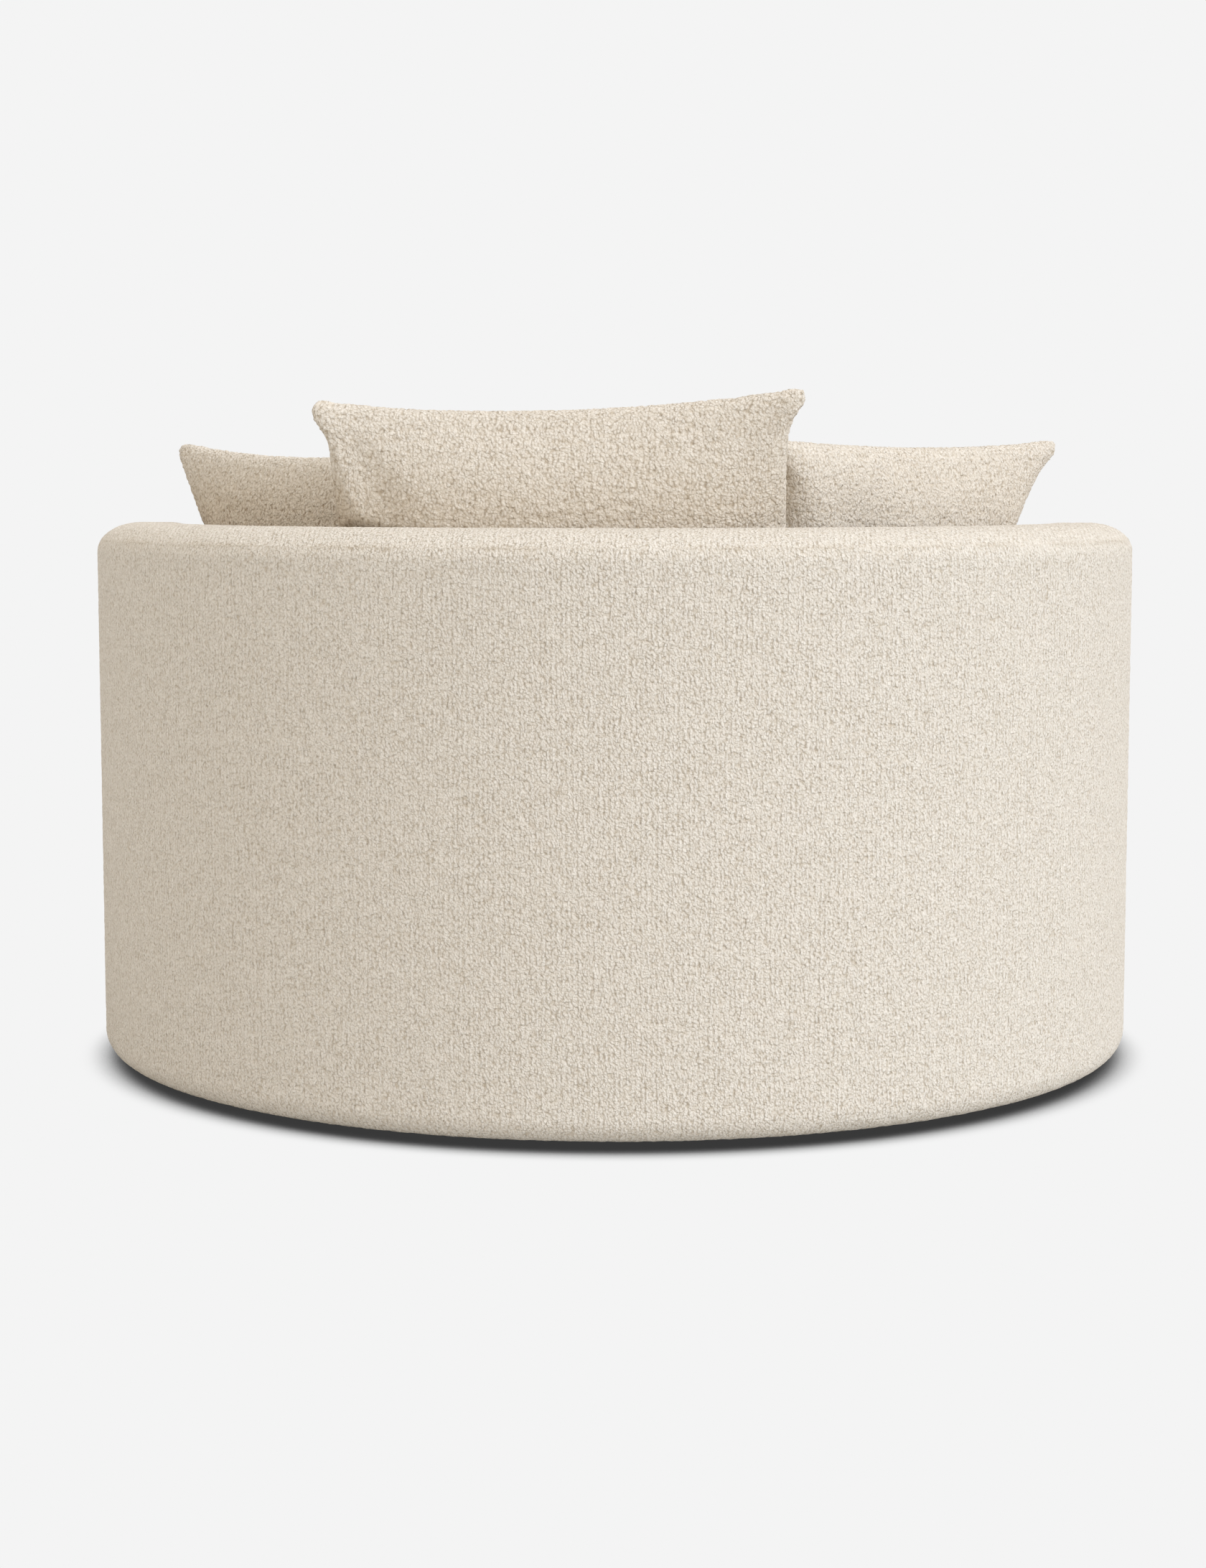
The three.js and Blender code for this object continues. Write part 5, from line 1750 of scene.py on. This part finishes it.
class CHAIR_OT_studio(Operator):
    """Set up the floor, the lights and the camera"""
    bl_idname = "chair.studio"
    bl_label = "Studio"

    def execute(self, context):
        studio = context.scene.chair_studio
        make_camera(studio)
        make_floor(studio)
        make_world(studio)
        make_sun("key_light", studio.key, KEY_FROM, 40, KEY_TINT)
        make_sun("top_light", studio.top, TOP_FROM, 60, (1, 1, 1))
        context.scene.view_settings.view_transform = "Standard"
        return {"FINISHED"}


def make_camera(studio):
    data = bpy.data.cameras.new("photo_camera")
    data.lens = studio.lens
    data.sensor_width = 36
    camera = bpy.data.objects.new("photo_camera", data)
    bpy.context.scene.collection.objects.link(camera)
    camera.location = studio.camera_place
    camera.rotation_euler = Vector(studio.camera_aim).to_track_quat("-Z", "Y").to_euler()
    bpy.context.scene.camera = camera


def not_lighting(tree):
    """1 for rays that show the backdrop, also in gloss and glass, and 0 for rays that light."""
    rays = add(tree, "ShaderNodeLightPath")
    camera_or_gloss = add(
        tree, "ShaderNodeMath",
        {0: rays.outputs["Is Camera Ray"], 1: rays.outputs["Is Glossy Ray"]}, operation="MAXIMUM",
    )
    return add(
        tree, "ShaderNodeMath",
        {0: camera_or_gloss.outputs[0], 1: rays.outputs["Is Transmission Ray"]},
        operation="MAXIMUM",
    ).outputs[0]


def make_floor(studio):
    """A plain pale floor. The camera sees its even backdrop colour, with a painted contact shadow that
    ambient occlusion makes dark where the chair stands.
    """
    bm = bmesh.new()
    bmesh.ops.create_grid(bm, x_segments=1, y_segments=1, size=30)
    floor = make_object("floor", bm)
    material = bpy.data.materials.new("painted_floor")
    material.use_nodes = True
    tree = material.node_tree
    tree.nodes.clear()
    # Painted shadow: the camera sees the backdrop colour darkened by ambient occlusion round the
    # chair.
    near = add(
        tree, "ShaderNodeAmbientOcclusion", {"Distance": mm(62)}, samples=16,
    ).outputs["AO"]
    outside_painted_shadow = add(
        tree, "ShaderNodeMapRange", {"Value": near, 1: 0.1, 2: 0.95, 3: 0.045, 4: 1.0},
        interpolation_type="SMOOTHERSTEP",
    ).outputs[0]
    backdrop_with_painted_shadow = mix(tree, outside_painted_shadow, (0.0, 0.0, 0.0, 1), rgba(studio.backdrop))
    glow = add(tree, "ShaderNodeEmission", {"Color": backdrop_with_painted_shadow, "Strength": 1.0})
    lit = add(tree, "ShaderNodeBsdfDiffuse", {"Color": rgba(linear("#CFCFCD"))})
    both = add(
        tree, "ShaderNodeMixShader",
        {0: not_lighting(tree), 1: lit.outputs[0], 2: glow.outputs[0]},
    )
    add(tree, "ShaderNodeOutputMaterial", {"Surface": both.outputs[0]})
    floor.data.materials.append(material)


def make_world(studio):
    world = bpy.data.worlds.new("studio")
    bpy.context.scene.world = world
    world.use_nodes = True
    tree = world.node_tree
    tree.nodes.clear()
    light = add(
        tree, "ShaderNodeBackground", {"Color": FILL_TINT, "Strength": studio.ambient},
    )
    shown = add(tree, "ShaderNodeBackground", {"Color": rgba(studio.backdrop), "Strength": 1.0})
    both = add(
        tree, "ShaderNodeMixShader",
        {0: not_lighting(tree), 1: light.outputs[0], 2: shown.outputs[0]},
    )
    add(tree, "ShaderNodeOutputWorld", {"Surface": both.outputs[0]})


def make_sun(name, strength, towards, width_degrees, tint):
    """A broad soft light that shines from the direction `towards`."""
    data = bpy.data.lights.new(name, "SUN")
    data.energy = strength
    data.color = tint
    data.angle = math.radians(width_degrees)
    lamp = bpy.data.objects.new(name, data)
    lamp.rotation_euler = (-Vector(towards)).to_track_quat("-Z", "Y").to_euler()
    bpy.context.scene.collection.objects.link(lamp)


STEPS = (
    CHAIR_OT_studio, CHAIR_OT_outer_back, CHAIR_OT_inner_back, CHAIR_OT_arm_bands,
    CHAIR_OT_top_band, CHAIR_OT_front_border, CHAIR_OT_padding, CHAIR_OT_platform,
    CHAIR_OT_seat_cushion, CHAIR_OT_back_pillows, CHAIR_OT_frame_finishes,
)


class CHAIR_PT_sidebar(Panel):
    """Steps of the chair's upholstery"""
    bl_idname = "CHAIR_PT_sidebar"
    bl_label = "Cuddle Chair"
    bl_space_type = "VIEW_3D"
    bl_region_type = "UI"
    bl_category = "Cuddle Chair"

    def draw(self, context):
        for step in STEPS:
            self.layout.operator(step.bl_idname)


GROUPS = {
    "chair_sizes": ChairSizes,
    "chair_cloth": ClothSettings,
    "chair_colours": ChairColours,
    "chair_studio": StudioSettings,
}


def register():
    for group in GROUPS.values():
        bpy.utils.register_class(group)
    for name, group in GROUPS.items():
        setattr(bpy.types.Scene, name, PointerProperty(type=group))
    for step in STEPS:
        bpy.utils.register_class(step)
    bpy.utils.register_class(CHAIR_PT_sidebar)


def unregister():
    bpy.utils.unregister_class(CHAIR_PT_sidebar)
    for step in reversed(STEPS):
        bpy.utils.unregister_class(step)
    for name in GROUPS:
        delattr(bpy.types.Scene, name)
    for group in GROUPS.values():
        bpy.utils.unregister_class(group)


def main():
    register()
    for step in STEPS:
        group, action = step.bl_idname.split(".")
        getattr(getattr(bpy.ops, group), action)()


if __name__ == "__main__":
    main()
